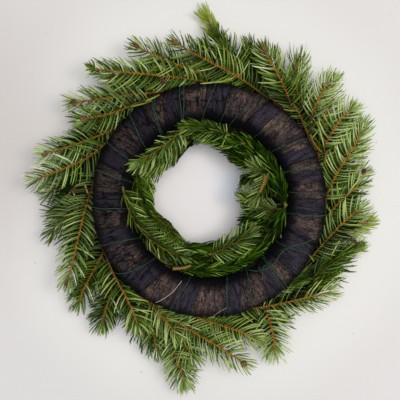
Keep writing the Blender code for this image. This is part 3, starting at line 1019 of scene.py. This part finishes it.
def budTrio(curve, draws):
    # a bud at the tip and a smaller one on each side of it
    place, head, left, up = (rows[0] for rows in framesAt(curve, along(curve)[-1:]))
    swings = [0.0] + [sign * draws.uniform(*tuft["budsApart"]) for sign in (-1, 1)]
    lengths = [1.0] + [draws.uniform(*tuft["smaller"]) for _ in range(2)]
    turn = np.radians(swings)[:, None]
    ahead = unit(np.cos(turn) * head + np.sin(turn) * left + tuft["budRise"] * up)
    side = unit(np.cross(up[None], ahead))
    high = np.cross(ahead, side)
    long = (np.array(lengths) * sprig["budLength"])[:, None]
    tones = draws.uniform(0.2, 0.9, 3)
    origins = np.repeat(place[None], 3, axis=0)
    return layCopies(shapes["bud"], origins, long * ahead, long * side, long * high, tones, 0.0, 0.0)


def twigChunk(curve, radii, age, cutEnd, look, draws):
    # the straight rod, bent along the curve and roughened by the needles' feet
    rod = shapes["twig"]
    points = rod["points"]
    total = along(curve)[-1]
    share = points[:, 0]
    places, heads, lefts, ups = framesAt(curve, share * total)
    spot = np.arctan2(points[:, 2], points[:, 1])
    step = np.round(share * twig["steps"])
    phase = draws.uniform(0, math.tau)
    knob = 1 + twig["knobs"][0] * np.sin(2.4 * step + 2 * spot + phase)
    knob = knob + twig["knobs"][1] * np.sin(5.1 * step - 3 * spot)
    radius = (radii[0] + (radii[1] - radii[0]) * share) * knob
    flat = (share < 1e-4) & (np.hypot(points[:, 1], points[:, 2]) < 0.9)  # the cut end's wood
    return {
        "points": places + radius[:, None] * (points[:, 1:2] * lefts + points[:, 2:3] * ups),
        "faces": rod["faces"],
        "uvs": rod["uvs"].reshape(-1, 2) * (1, total / sprig["footSpacing"]),
        "slot": rod["slot"],
        "tone": age * np.clip(1 - 1.6 * share, 0, 1) + twig["leastAge"],
        "pale": flat * float(cutEnd),
        "young": look["olive"] + 0 * share,
    }


shoots = {
    "places": ((0.36, 0.50), (0.56, 0.70)),  # shares of the twig where they fork
    "lengths": (0.30, 0.44),  # of the whole twig
    "taper": 1.15,  # less the share where it forks, by which its length is multiplied
    "shortest": 0.03,
    "rise": (-0.42, -0.12),
    "angle": 46,  # from the twig where it forks
    "bend": 0.1,  # share of the twig over which it turns to the twig's way
    "kept": (0.45, 0.5),  # at its tip, of its way out and of its rise
    "lowest": 0.006,
    "bare": 0.004,  # bare stem at the root
    "radii": (0.001, 0.0007),
    "age": 0.2,
    "darker": 0.05,
    "mustClear": 8,  # first point of its curve that may not lie in the ring
    "chance": 0.8,
    "budded": (1, 2, 6, 11, 15, 19, 26, 29, 30, 31),  # outer sprigs with buds at their tips
    "alsoBudded": ("innerShoot04", "overShoot03"),
    "sideBuds": 0.1,  # how often a side shoot bears them
}


def sideShoot(curve, share, side, length, rise):
    # a shoot that forks off and bends towards the main twig's way
    stations = np.array([share, min(share + shoots["bend"], 1)]) * along(curve)[-1]
    places, heads, lefts, ups = framesAt(curve, stations)
    turn = math.radians(shoots["angle"])
    sideways, rising = shoots["kept"]
    first = unit(math.cos(turn) * heads[0] + math.sin(turn) * side * lefts[0] + rise * ups[0])
    last = unit(heads[1] + sideways * side * lefts[0] + rising * rise * ups[0])
    tip = places[0] + length * (0.5 * first + 0.5 * last)
    tip[2] = max(tip[2], shoots["lowest"])
    return np.vstack([places[:1], bezier(places[0], first, tip, last)])


# Shoots inside the ring that show no tie: where they start and end in millimetres
# from the ring's axis and the floor, how far they bow to their left, and their look
innerShoots = [
    ((81, -7, 58), (12, 66, 44), -15, "t"),
    ((84, 8, 50), (34, 64, 42), -12, "t"),
    ((74, 42, 46), (16, 58, 40), 5, "t"),
    ((80, 30, 44), (44, 4, 42), 5, "t"),
    ((66, 48, 44), (38, 22, 42), 3, "t"),
    ((80, -7, 60), (60, 44, 59), -5, "t"),
    ((62, 28, 61), (51, 3, 55), 2, "p"),
    ((66, 28, 48), (48, 35, 56), 1, "p"),
    ((78, -10, 46), (38, 4, 46), 4, "p"),
    ((77, -22, 46), (42, -20, 42), -3, "t"),
    ((72, -34, 42), (44, -8, 40), 3, "t"),
    ((70, -38, 44), (44, -34, 40), 2, "d"),
    ((0, -58, 50), (43, -35, 54), -2, "g"),
    ((-37, -71, 57), (62, -44, 46), -16, "t"),
    ((-34, -58, 44), (40, -50, 42), -5, "t"),
    ((-30, -66, 40), (30, -58, 46), -3, "d"),
    ((-40, -54, 46), (12, -55, 44), 5, "t"),
    ((-90, 14, 67), (-28, -60, 53), -15, "f"),
    ((-74, -8, 46), (-31, -42, 50), 3, "f"),
    ((-76, 6, 42), (-48, -44, 42), 2, "t"),
    ((-66, 48, 48), (-62, -10, 44), -3, "t"),
    ((-76, 34, 50), (-68, -4, 50), -4, "d"),
    ((-28, 74, 60), (-76, 38, 66), 2, "g"),
    ((-24, 70, 48), (-66, 36, 50), 5, "p"),
    ((-14, 68, 38), (-58, 44, 40), 5, "t"),
    ((-22, 62, 42), (-60, 30, 46), 3, "f"),
    ((-70, -14, 42), (-32, -36, 44), 4, "t"),
    ((82, -4, 60), (76, -40, 58), -4, "t"),
    ((70, 48, 34), (46, 70, 34), 3, "d"),
    ((30, -76, 34), (60, -58, 34), 3, "d"),
    ((22, 68, 54), (-22, 78, 62), -2, "f"),
    ((38, 60, 50), (-10, 70, 56), 3, "t"),
]


# Shoots that lie on top of the outer sprigs, listed the same way
overShoots = [
    ((103, 95, 46), (95, 151, 42), 6, "g"),
    ((108, 84, 48), (129, 126, 46), 3, "p"),
    ((88, 97, 50), (59, 157, 44), -3, "f"),
    ((59, -116, 42), (71, -164, 30), 3, "g"),
    ((-38, -158, 40), (-27, -197, 22), 0, "g"),
    ((139, 37, 40), (162, 79, 40), 0, "p"),
    ((98, -98, 40), (134, -80, 34), -3, "t"),
    ((110, -84, 44), (156, -52, 38), 3, "t"),
    ((121, 52, 46), (152, 98, 44), 3, "g"),
    ((-116, 136, 50), (-125, 140, 50), 0, "y"),
    ((-134, 0, 30), (-166, -14, 26), 3, "f"),
]


# What lies loose among the sprigs, which makes one piece
scraps = {
    # bare stems, their cut end first: bow, thickness in millimetres, and how much of
    # the bark is off
    "stems": (
        ((102, 99, 42), (112, 73, 40), 2, 1.3, 0.0),
        ((121, 51, 44), (108, 70, 44), 2, 1.3, 0.0),
        ((126, 52, 42), (125, 36, 40), -1, 1.3, 0.0),
        ((-90, 15, 60), (-84, -2, 56), 1, 0.9, 0.4),
        ((-38, -72, 62), (-19, -69, 58), -1, 1.7, 0.08),
        ((59, 26, 63), (53, 8, 61), 1, 1.7, 0.05),
        ((80, -8, 58), (80, -3, 56), 0, 1.1, 0.3),
        ((-133, 16, 36), (-130, 7, 36), 0, 1.2, 0.35),
    ),
    "stemTip": 0.8,  # of its thickness
    "stemAge": 0.1,
    # single needles that lie across the rest: from and to, and their tone
    "needles": (
        ((114, 83, 54), (124, 57, 52), 0.95),
        ((24, 126, 64), (4, 121, 66), 0.9),
        ((10, 124, 64), (-9, 120, 66), 0.92),
        ((-52, 110, 64), (-66, 102, 65), 0.9),
        ((-60, 104, 62), (-82, 96, 60), 0.86),
        ((100, -52, 62), (112, -64, 58), 0.8),
    ),
    "needleBend": -0.08,
    # scaly knots on the twigs: where they lie, and which way they point
    "knots": (
        ((-46.5, 126, 52), 170), ((-49, 127.5, 52), 150), ((-44, 125, 52), 190),
        ((-47, 124, 52), 200), ((154, -46, 50), 60), ((151, -44, 50), 85),
        ((156.5, -47.5, 49), 35), ((-142, 12, 30), 200), ((-134, 100, 44), 170),
    ),
    "knotSize": 0.0042,
    "knotRise": 0.3,
}

# Shoots low in the wreath, dark with painted shade, all round it, that close the gaps between the sprigs
underShoots = {
    "count": 30,
    "starts": (112, 122),  # millimetres from the ring's axis
    "ends": (144, 156),
    "turn": (24, 34),  # degrees round the ring from start to end
    "heights": (11, 24),
    "bow": -4,
    # and a few more where the wreath is thickest, from and to
    "more": (
        ((-118, -62, 22), (-140, -100, 20)), ((-98, -98, 22), (-114, -132, 18)),
        ((-80, -112, 22), (-62, -158, 18)), ((-134, -16, 24), (-150, -46, 22)),
        ((-128, 24, 30), (-158, -4, 26)), ((34, 126, 20), (6, 162, 20)),
        ((-112, 88, 22), (-138, 84, 20)), ((-120, 66, 22), (-152, 54, 20)),
        ((62, 118, 20), (56, 158, 20)), ((130, -2, 20), (154, 12, 20)),
        ((126, -34, 22), (152, -16, 22)), ((24, 130, 26), (-4, 166, 24)),
        ((112, -84, 24), (144, -68, 24)),
    ),
}


def underRows():
    draws = random.Random(7)
    pairs = []
    for number in range(underShoots["count"]):
        first = 360 * number / underShoots["count"] + draws.uniform(-4, 4)
        last = first + draws.uniform(*underShoots["turn"])
        points = []
        for angle, reaches in ((first, underShoots["starts"]), (last, underShoots["ends"])):
            reach = draws.uniform(*reaches)
            turn = math.radians(angle)
            height = draws.uniform(*underShoots["heights"])
            points.append((reach * math.cos(turn), reach * math.sin(turn), height))
        pairs.append(points)
    return [(start, end, underShoots["bow"], "u") for start, end in (*pairs, *underShoots["more"])]


def makeScraps():
    draws = np.random.default_rng(9)
    look = dict(looks["f"], **sizes["outer"])
    chunks = []
    for start, end, bow, thick, peeled in scraps["stems"]:
        radii = (thick / 1000, scraps["stemTip"] * thick / 1000)
        curve = shootCurve(start, end, bow)
        stem = twigChunk(curve, radii, scraps["stemAge"], True, look, draws)
        stem["pale"] = np.maximum(stem["pale"], peeled)
        chunks.append(stem)
    for start, end, tone in scraps["needles"]:
        curve = shootCurve(start, end, 0)
        way = (curve[-1] - curve[0])[None]
        side = unit(np.cross(upward, way))
        high = np.cross(unit(way), side)
        bend = scraps["needleBend"] * np.linalg.norm(way) * side
        wide = sprig["needleWidth"]
        axes = (way, wide * side, wide * high)
        chunks.append(layCopies(shapes["near"], curve[:1], *axes, tone, 0.5, 0.3, bend))
    for place, angle in scraps["knots"]:
        turn = math.radians(angle)
        way = scraps["knotSize"] * np.array([[math.cos(turn), math.sin(turn), scraps["knotRise"]]])
        side = np.cross(upward, way)
        high = scraps["knotSize"] * np.cross(unit(way), unit(side))
        start = shootCurve(place, place, 0)[:1]
        chunks.append(layCopies(shapes["bud"], start, way, side, high, 0.35, 0.0, 0.0))
    piece = buildPiece("bareStems", chunks)
    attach(piece, "root")


def shootCurve(start, end, bow):
    # a bow from start to end, given in millimetres from the ring's axis and the floor
    start, end = np.array(start, float) / 1000, np.array(end, float) / 1000
    for point in (start, end):
        point[:2] += (ring["centre"].x, ring["centre"].y)
    way = end - start
    aside = unit(np.array([-way[1], way[0], 0.0])) * bow / 1000
    share = np.linspace(0, 1, sprig["curveSteps"])[:, None]
    return start + share * way + 4 * share * (1 - share) * aside


def growOn(name, curve, start, look, draws):
    # a twig with its needles, tuft and side shoots, as one piece
    total = along(curve)[-1]
    chunks = [twigChunk(curve, sprig["radii"], sprig["age"], True, look, draws)]
    chunks += growNeedles(curve, start, look, draws)
    chunks += growTip(curve, look, look["budded"], draws)
    for low, high in shoots["places"]:
        for side in (-1, 1):
            share = draws.uniform(low, high)
            length = total * draws.uniform(*shoots["lengths"]) * (shoots["taper"] - share)
            rise = draws.uniform(*shoots["rise"])
            wanted = draws.uniform() < look.get("forks", shoots["chance"])
            shoot = sideShoot(curve, share, side, length, rise)
            if not wanted or length < shoots["shortest"] or blocked(shoot[shoots["mustClear"]:]).any():
                continue
            sideLook = dict(look, lift=look["lift"] - shoots["darker"], sides=(1, 1))
            chunks.append(twigChunk(shoot, shoots["radii"], shoots["age"], False, sideLook, draws))
            chunks += growNeedles(shoot, shoots["bare"], sideLook, draws)
            chunks += growTip(shoot, sideLook, draws.uniform() < shoots["sideBuds"], draws)
    for chunk in chunks:
        chunk["points"][:, 2] = np.clip(chunk["points"][:, 2], clear["floor"], clear["top"])
    return buildPiece(name, chunks)


def growTip(curve, look, budded, draws):
    # every twig's buds are drawn, even unused, so that the later draws stay the same
    chunks = [tipTuft(curve, look, draws), budTrio(curve, draws)]
    return chunks if budded else chunks[:1]


def sprigRows():
    # the kind, number and values of every tied sprig
    rows = [("outer", number, row) for number, row in enumerate(outerSprigs, start=1)]
    rows += [("inner", number, row) for number, row in enumerate(innerSprigs, start=1)]
    for number, tie in enumerate(faceSprigs["ties"]):
        lane = faceSprigs["lanes"][number % 2]
        tipAngle = tieAngle(tie, lane) + faceSprigs["sweep"]
        reach = faceSprigs["reaches"][number % 2]
        row = (tie, lane, tipAngle, reach, faceSprigs["lean"], faceSprigs["height"], "d")
        rows.append(("face", number + 1, row))
    return rows


def makeSprigs():
    stage("sprigs")
    for seed, (kind, number, row) in enumerate(sprigRows()):
        name = f"{kind}Sprig{number:02d}"
        draws = np.random.default_rng(seed)
        size = sizes.get(kind, sizes["outer"])
        look = dict(looks[row[6]], **size, lift=draws.uniform(-0.08, 0.08))
        look["cover"] += 2 * (row[6] == "t")
        look["budded"] = kind == "outer" and number in shoots["budded"]
        look.update(apart.get(name, {}))
        curve = twigCurve(row)
        start = sprig["tied"] + sprig["tiedPast"] + sprig["bare"]
        start += look.get("bare", 0) * (along(curve)[-1] - start)
        piece = growOn(name, curve, start, look, draws)
        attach(piece, "root")
        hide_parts(f"{kind}_sprig_{number:02d}")


def makeShoots():
    stage("shoots that show no tie")
    for place, rows in (("inner", innerShoots), ("over", overShoots), ("under", underRows())):
        for number, (start, end, bow, kind) in enumerate(rows, start=1):
            name = f"{place}Shoot{number:02d}"
            draws = np.random.default_rng([number, len(place)])
            look = dict(looks[kind], **sizes[place], lift=draws.uniform(-0.06, 0.06))
            look["cover"] += kind == "t"
            look["budded"] = name in shoots["alsoBudded"]
            look.update(apart.get(name, {}))
            piece = growOn(name, shootCurve(start, end, bow), shoots["bare"], look, draws)
            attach(piece, "root")


# The woven strip

strip = {
    "stepsPerTurn": 32,
    "across": 32,
    "lap": 1.2,  # width of a turn over the room it has
    "gap": 0.0006,  # off the core
    "rise": 0.0017,  # of a turn's near edge over its far edge
    "thickness": 0.0003,
    "wrinkle": 0.0006,
    # folds: how many degrees round the ring and round its section each takes up
    "bend": (9, 50),
    "broad": (2, 170),
    "fine": (0.9, 80),  # and here the first is a share of one for each degree
    "bendBy": 2.5,
    "heights": (0.7, 0.6),  # of the broad and the fine folds
    "creaseSharpness": 14,
    # darkness of the painted shade in the creases, the edges, both sides and the left half
    "darkness": (0.8, 0.6, 0.9, 0.5),
    "darkest": 155,  # angle round the ring where the painted shade of the left half is deepest
    "softBorder": 1.6,  # degrees, where one layer goes over into two
    # angles of each turn's near edge at the ring's outer and inner edge
    "edges": (
        (8, 14.5), (22, 24.5), (33, 38), (57.5, 68), (78.5, 83), (90.5, 94), (105, 108), (111, 124),
        (126, 129), (137, 146), (160, 165), (184, 187), (193.5, 199), (219, 223), (231, 241),
        (249, 252), (277.5, 282), (301, 307), (319, 320), (337, 341),
    ),
    # where one layer covers the straw: from and to at the outer edge, then at the inner
    "single": (
        (0, 4, 2, 6), (4.5, 8, 6, 14.5), (15, 22, 17.5, 24), (26, 33, 34, 38), (34, 50, 39, 54),
        (58, 78.5, 67, 82.5), (91, 104, 94, 107.5), (111, 126, 122, 128), (137, 149, 141, 151),
        (160, 175, 165, 176), (184.5, 193.5, 187, 199), (205, 219, 209, 224), (231, 249, 239, 252),
        (260, 277, 266, 282), (285, 301, 293, 309), (312, 319, 312, 319), (338, 352, 345, 350),
    ),
}


def singleShare(around, lane):
    # 1 where one layer lies, 0 where two do, with soft borders
    share = (1 - np.cos(np.radians(np.clip(lane % 360, 0, 180)))) / 2
    around = around % 360
    shown = np.zeros_like(around)
    for outerFrom, outerTo, innerFrom, innerTo in strip["single"]:
        start = outerFrom + (innerFrom - outerFrom) * share
        end = outerTo + (innerTo - outerTo) * share
        inside = np.minimum(around - start, end - around)
        shown = np.maximum(shown, np.clip(inside / strip["softBorder"] + 0.5, 0, 1))
    return shown


def makeStrip(material):
    stage("woven strip")
    turns = len(strip["edges"])
    deselectAll()
    bpy.ops.mesh.primitive_grid_add(
        x_subdivisions=turns * strip["stepsPerTurn"], y_subdivisions=strip["across"], size=1
    )
    item = latest("wrapStrip")
    mesh = item.data
    grid = np.array([vert.co for vert in mesh.vertices])
    turn = (grid[:, 0] + 0.5) * turns
    share = grid[:, 1] + 0.5
    halfTurns = np.arange(2 * turns + 4) / 2
    edges = [angle for pair in strip["edges"] for angle in pair]
    edges += [angle + 360 for angle in edges[:4]]
    near = np.interp(turn, halfTurns, edges)
    far = np.interp(turn + 1, halfTurns, edges)
    around = near + (far - near) * share * strip["lap"]
    lane = 360 * turn
    folds, creaseShades = wrinkles(around, lane, turn)
    lift = strip["gap"] + strip["rise"] * (1 - share) + strip["wrinkle"] * folds
    mesh.vertices.foreach_set("co", ringPoints(around, lane, lift).ravel())
    # the UV map is the strip's cloth laid flat, in millimetres
    layer = mesh.uv_layers.active or mesh.uv_layers.new(name="UVMap")
    layer.name = "UVMap"
    corner = np.zeros(len(mesh.loops), int)
    mesh.loops.foreach_get("vertex_index", corner)
    circle = math.pi * (ring["halfWide"] + ring["halfHigh"]) * 1000
    flat = np.stack([turn * circle, np.radians(around) * ring["radius"] * 1000], axis=-1)
    layer.data.foreach_set("uv", flat[corner].ravel())
    # painted shade over the left half, deepest at the darkest angle
    gloom = ramp(np.cos(np.radians(around - strip["darkest"])), -0.15, 1.15)
    addValues(mesh, "single", singleShare(around, lane))
    addValues(mesh, "shade", stripShade(share, lane, creaseShades, gloom))
    addValues(mesh, "gloom", gloom)
    mesh.update()
    wall = item.modifiers.new("wall", "SOLIDIFY")
    wall.thickness = strip["thickness"]
    wall.offset = 0
    bpy.ops.object.modifier_apply(modifier="wall")
    bpy.ops.object.shade_smooth()
    mesh.materials.append(material)
    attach(item, "root")
    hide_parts("wrap_strip")


def stripShade(share, lane, creaseShades, gloom):
    # painted shade in the creases, beside the next turn's raised edge, down both sides, and all
    # over the left half
    edge = np.clip(1 - np.abs(share - 0.80) / 0.05, 0, 1)
    side = np.cos(np.radians(lane))
    steep = ramp(np.where(side > 0, side, -side + 0.2), 0.55, 0.42)
    light = 1.0
    for darkness, place in zip(strip["darkness"], (creaseShades, edge, steep, gloom)):
        light = light * (1 - darkness * place)
    return 1 - light


def wrinkles(around, lane, turn):
    # pulled folds that run round the section, and how much painted shade each place's crease gets
    bend, broad, fine = strip["bend"], strip["broad"], strip["fine"]
    folds = []
    creaseShades = []
    for angle, section, place in zip(around, lane, turn):
        row = math.floor(place - 1e-6)
        sway = strip["bendBy"] * noise.noise(Vector((angle / bend[0], section / bend[1], row)))
        wave = noise.noise(Vector((angle / broad[0] + sway, section / broad[1], row * 3.7)))
        pleat = noise.noise(Vector((angle * fine[0] + sway, section / fine[1], row * 5.1 + 40)))
        folds.append(strip["heights"][0] * wave + strip["heights"][1] * (1 - 2.6 * abs(pleat)))
        crease = min(max(1 - abs(pleat + 0.12) * strip["creaseSharpness"], 0), 1)
        creaseShades.append(crease * min(max(0.6 + 2 * wave, 0), 1))
    return np.array(folds), np.array(creaseShades)


# The winding wire

wire = {
    "radius": 0.00042,
    "backLift": 0.0030,
    "faceLift": 0.0075,
    "stepsPerTurn": 24,
    # angles of each pass over the back, at the ring's outer and inner edge
    "passes": (
        (2, 6), (16, 20), (32, 37.3), (44.7, 54.5), (64, 74.4), (74.2, 82), (86, 95.6), (102.6, 108),
        (104.2, 110), (117.4, 125.5), (118.6, 127.4), (132.6, 140.9), (150.7, 153.7), (165, 167.5),
        (183.4, 186.5), (202.5, 208.5), (218.4, 227.5), (250, 256.5), (277, 283.7), (291.8, 298.3),
        (310.3, 312.4), (311.8, 314.5), (331, 328.5), (352.5, 350),
    ),
    "wobble": 1.6,  # degrees round the ring
}


def cordPiece(name, points, radius, material, slot):
    # a bevelled curve through the points, made a mesh
    deselectAll()
    bpy.ops.curve.primitive_bezier_curve_add()
    shape = latest(name).data
    shape.splines.clear()
    line = shape.splines.new("POLY")
    line.points.add(len(points) - 1)
    line.points.foreach_set("co", np.hstack([points, np.ones((len(points), 1))]).ravel())
    shape.bevel_depth = radius
    shape.bevel_resolution = 1
    shape.use_fill_caps = True
    bpy.ops.object.convert(target="MESH")
    bpy.ops.object.shade_smooth()
    item = bpy.context.object
    item.data.materials.append(material)
    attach(item, "root")
    return item


def makeWire(material):
    stage("winding wire")
    turns = len(wire["passes"])
    steps = wire["stepsPerTurn"]
    place = np.arange(turns * steps + 1) / steps
    lane = (360 * place) % 360
    number = np.minimum(place.astype(int), turns - 1)
    outer = np.array([start for start, end in wire["passes"]] + [wire["passes"][0][0] + 360])
    inner = np.array([end for start, end in wire["passes"]])
    back = lane < 180
    ease = (1 - np.cos(np.radians(lane))) / 2
    over = outer[number] + (inner[number] - outer[number]) * ease
    under = inner[number] + (outer[number + 1] - inner[number]) * (lane - 180) / 180
    around = np.where(back, over, under)
    around[-1] = outer[-1]
    wobble = [noise.noise(Vector((step * 0.21, 3.3, 0))) for step in range(len(around))]
    around = around + wire["wobble"] * np.array(wobble) * np.sin(np.radians(lane)).clip(0, 1)
    depth = np.clip(-np.sin(np.radians(lane)) * 2.2, 0, 1)
    lift = wire["backLift"] + (wire["faceLift"] - wire["backLift"]) * depth
    points = ringPoints(around, lane, lift)
    piece = cordPiece("windingWire", points, wire["radius"], material, "winding_wire")
    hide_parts("winding_wire")


# What lies loose on the wrapped back: its thickness from the middle, its lift off the
# wrap, and its route by the angle round the ring and millimetres from the ring's axis
looseEnds = table(
    "slot radius lift route",
    wireEnd=("winding_wire", wire["radius"], 0.0006, (
        (299, 83), (301.5, 87), (305, 90.5), (308.5, 91.5), (311, 94), (315, 94.5), (320, 93.5),
        (325, 93), (328, 95), (331, 99), (334, 105), (337.5, 112), (341, 119),
    )),
    wireLoop=("winding_wire", wire["radius"], 0.0009, (
        (304, 99), (306, 95), (307.8, 91), (310, 89), (311.6, 91.5), (309.6, 94.5), (306.6, 91),
        (306, 87),
    )),
    strayThread=("woven_strip", 0.00024, 0, (
        (242.3, 122), (244, 117), (247, 108), (249.5, 98), (251.5, 88),
    )),
    strayHair=("woven_strip", 0.00013, 0, ((271, 124), (274.5, 118), (280, 113))),
)
wrapLift = 0.0034  # of the wrap's surface over the core, for what lies on it


def onBack(rows, lift):
    # points on the wrapped back at angles and distances from the ring's axis
    angles, reaches = np.array(rows, float).T
    dense = np.linspace(0, len(rows) - 1, 6 * len(rows))
    angles = smoothLine(dense, angles)
    reaches = smoothLine(dense, reaches) / 1000
    cosine = np.clip((reaches - ring["radius"]) / (ring["halfWide"] + lift), -1, 1)
    return ringPoints(angles, np.degrees(np.arccos(cosine)), lift)


def smoothLine(dense, values):
    # values between the given ones, eased by a running mean
    line = np.interp(dense, np.arange(len(values)), values)
    padded = np.concatenate([[line[0]] * 3, line, [line[-1]] * 3])
    return np.convolve(padded, np.ones(7) / 7, mode="valid")


def makeLooseEnds(materials):
    stage("loose ends")
    for name, end in looseEnds.items():
        points = onBack(end["route"], wrapLift + end["lift"])
        cordPiece(name, points, end["radius"], materials[end["slot"]], end["slot"])


# Floor, light and camera

studio = {
    "floorSize": 6.0,
    "skyColour": (0.90, 0.935, 0.985, 1),
    "skyStrength": 0.42,
    # each square light's place, size, power and colour
    "lights": {
        "softbox": ((0.17, 0.05, 2.2), 1.2, 22.6, (1.0, 0.98, 0.95)),
        "window": ((0.95, 0.1, 2.0), 0.55, 9.2, (1.0, 0.96, 0.91)),
    },
    "cameraOffset": -0.00945,  # of the camera from the ring's axis, to the left
    "cameraHeight": 1.06,
    "lens": 85.7,
    "nearest": 0.01,  # that the camera sees
}


def makeStudio(material):
    stage("floor, light and camera")
    deselectAll()
    bpy.ops.mesh.primitive_plane_add(size=studio["floorSize"])
    floor = latest("floor")
    floor.data.materials.append(material)
    world = bpy.data.worlds.new("studio")
    world.use_nodes = True
    sky = world.node_tree.nodes["Background"].inputs
    sky["Color"].default_value = studio["skyColour"]
    sky["Strength"].default_value = studio["skyStrength"]
    scene = bpy.context.scene
    scene.world = world
    for name, settings in studio["lights"].items():
        addLight(name, *settings)
    bpy.ops.object.camera_add(
        location=(ring["centre"].x + studio["cameraOffset"], ring["centre"].y, studio["cameraHeight"])
    )
    camera = latest("topView")
    camera.data.lens = studio["lens"]
    camera.data.clip_start = studio["nearest"]
    scene.camera = camera
    scene.view_settings.view_transform = "Standard"


def addLight(name, place, size, power, colour):
    # a square light that shines at the middle of the floor
    bpy.ops.object.light_add(type="AREA", location=place)
    light = latest(name)
    light.data.size = size
    light.data.energy = power
    light.data.color = colour
    light.rotation_mode = "QUATERNION"
    light.rotation_quaternion = (-Vector(place)).to_track_quat("-Z", "Y")


core = frame["nodes"]["ring_core"]
core.material_slots[0].material = strawPaint()
makeStrip(stripPaint())
greenWire = wirePaint()
makeWire(greenWire)
makeLooseEnds({"winding_wire": greenWire, "woven_strip": threadPaint()})
makeSprigs()
makeShoots()
makeScraps()
makeStudio(floorPaint())
deselectAll()

faceCount = sum(len(item.data.polygons) for item in bpy.data.objects if item.type == "MESH")
stage(f"{faceCount} faces in all")
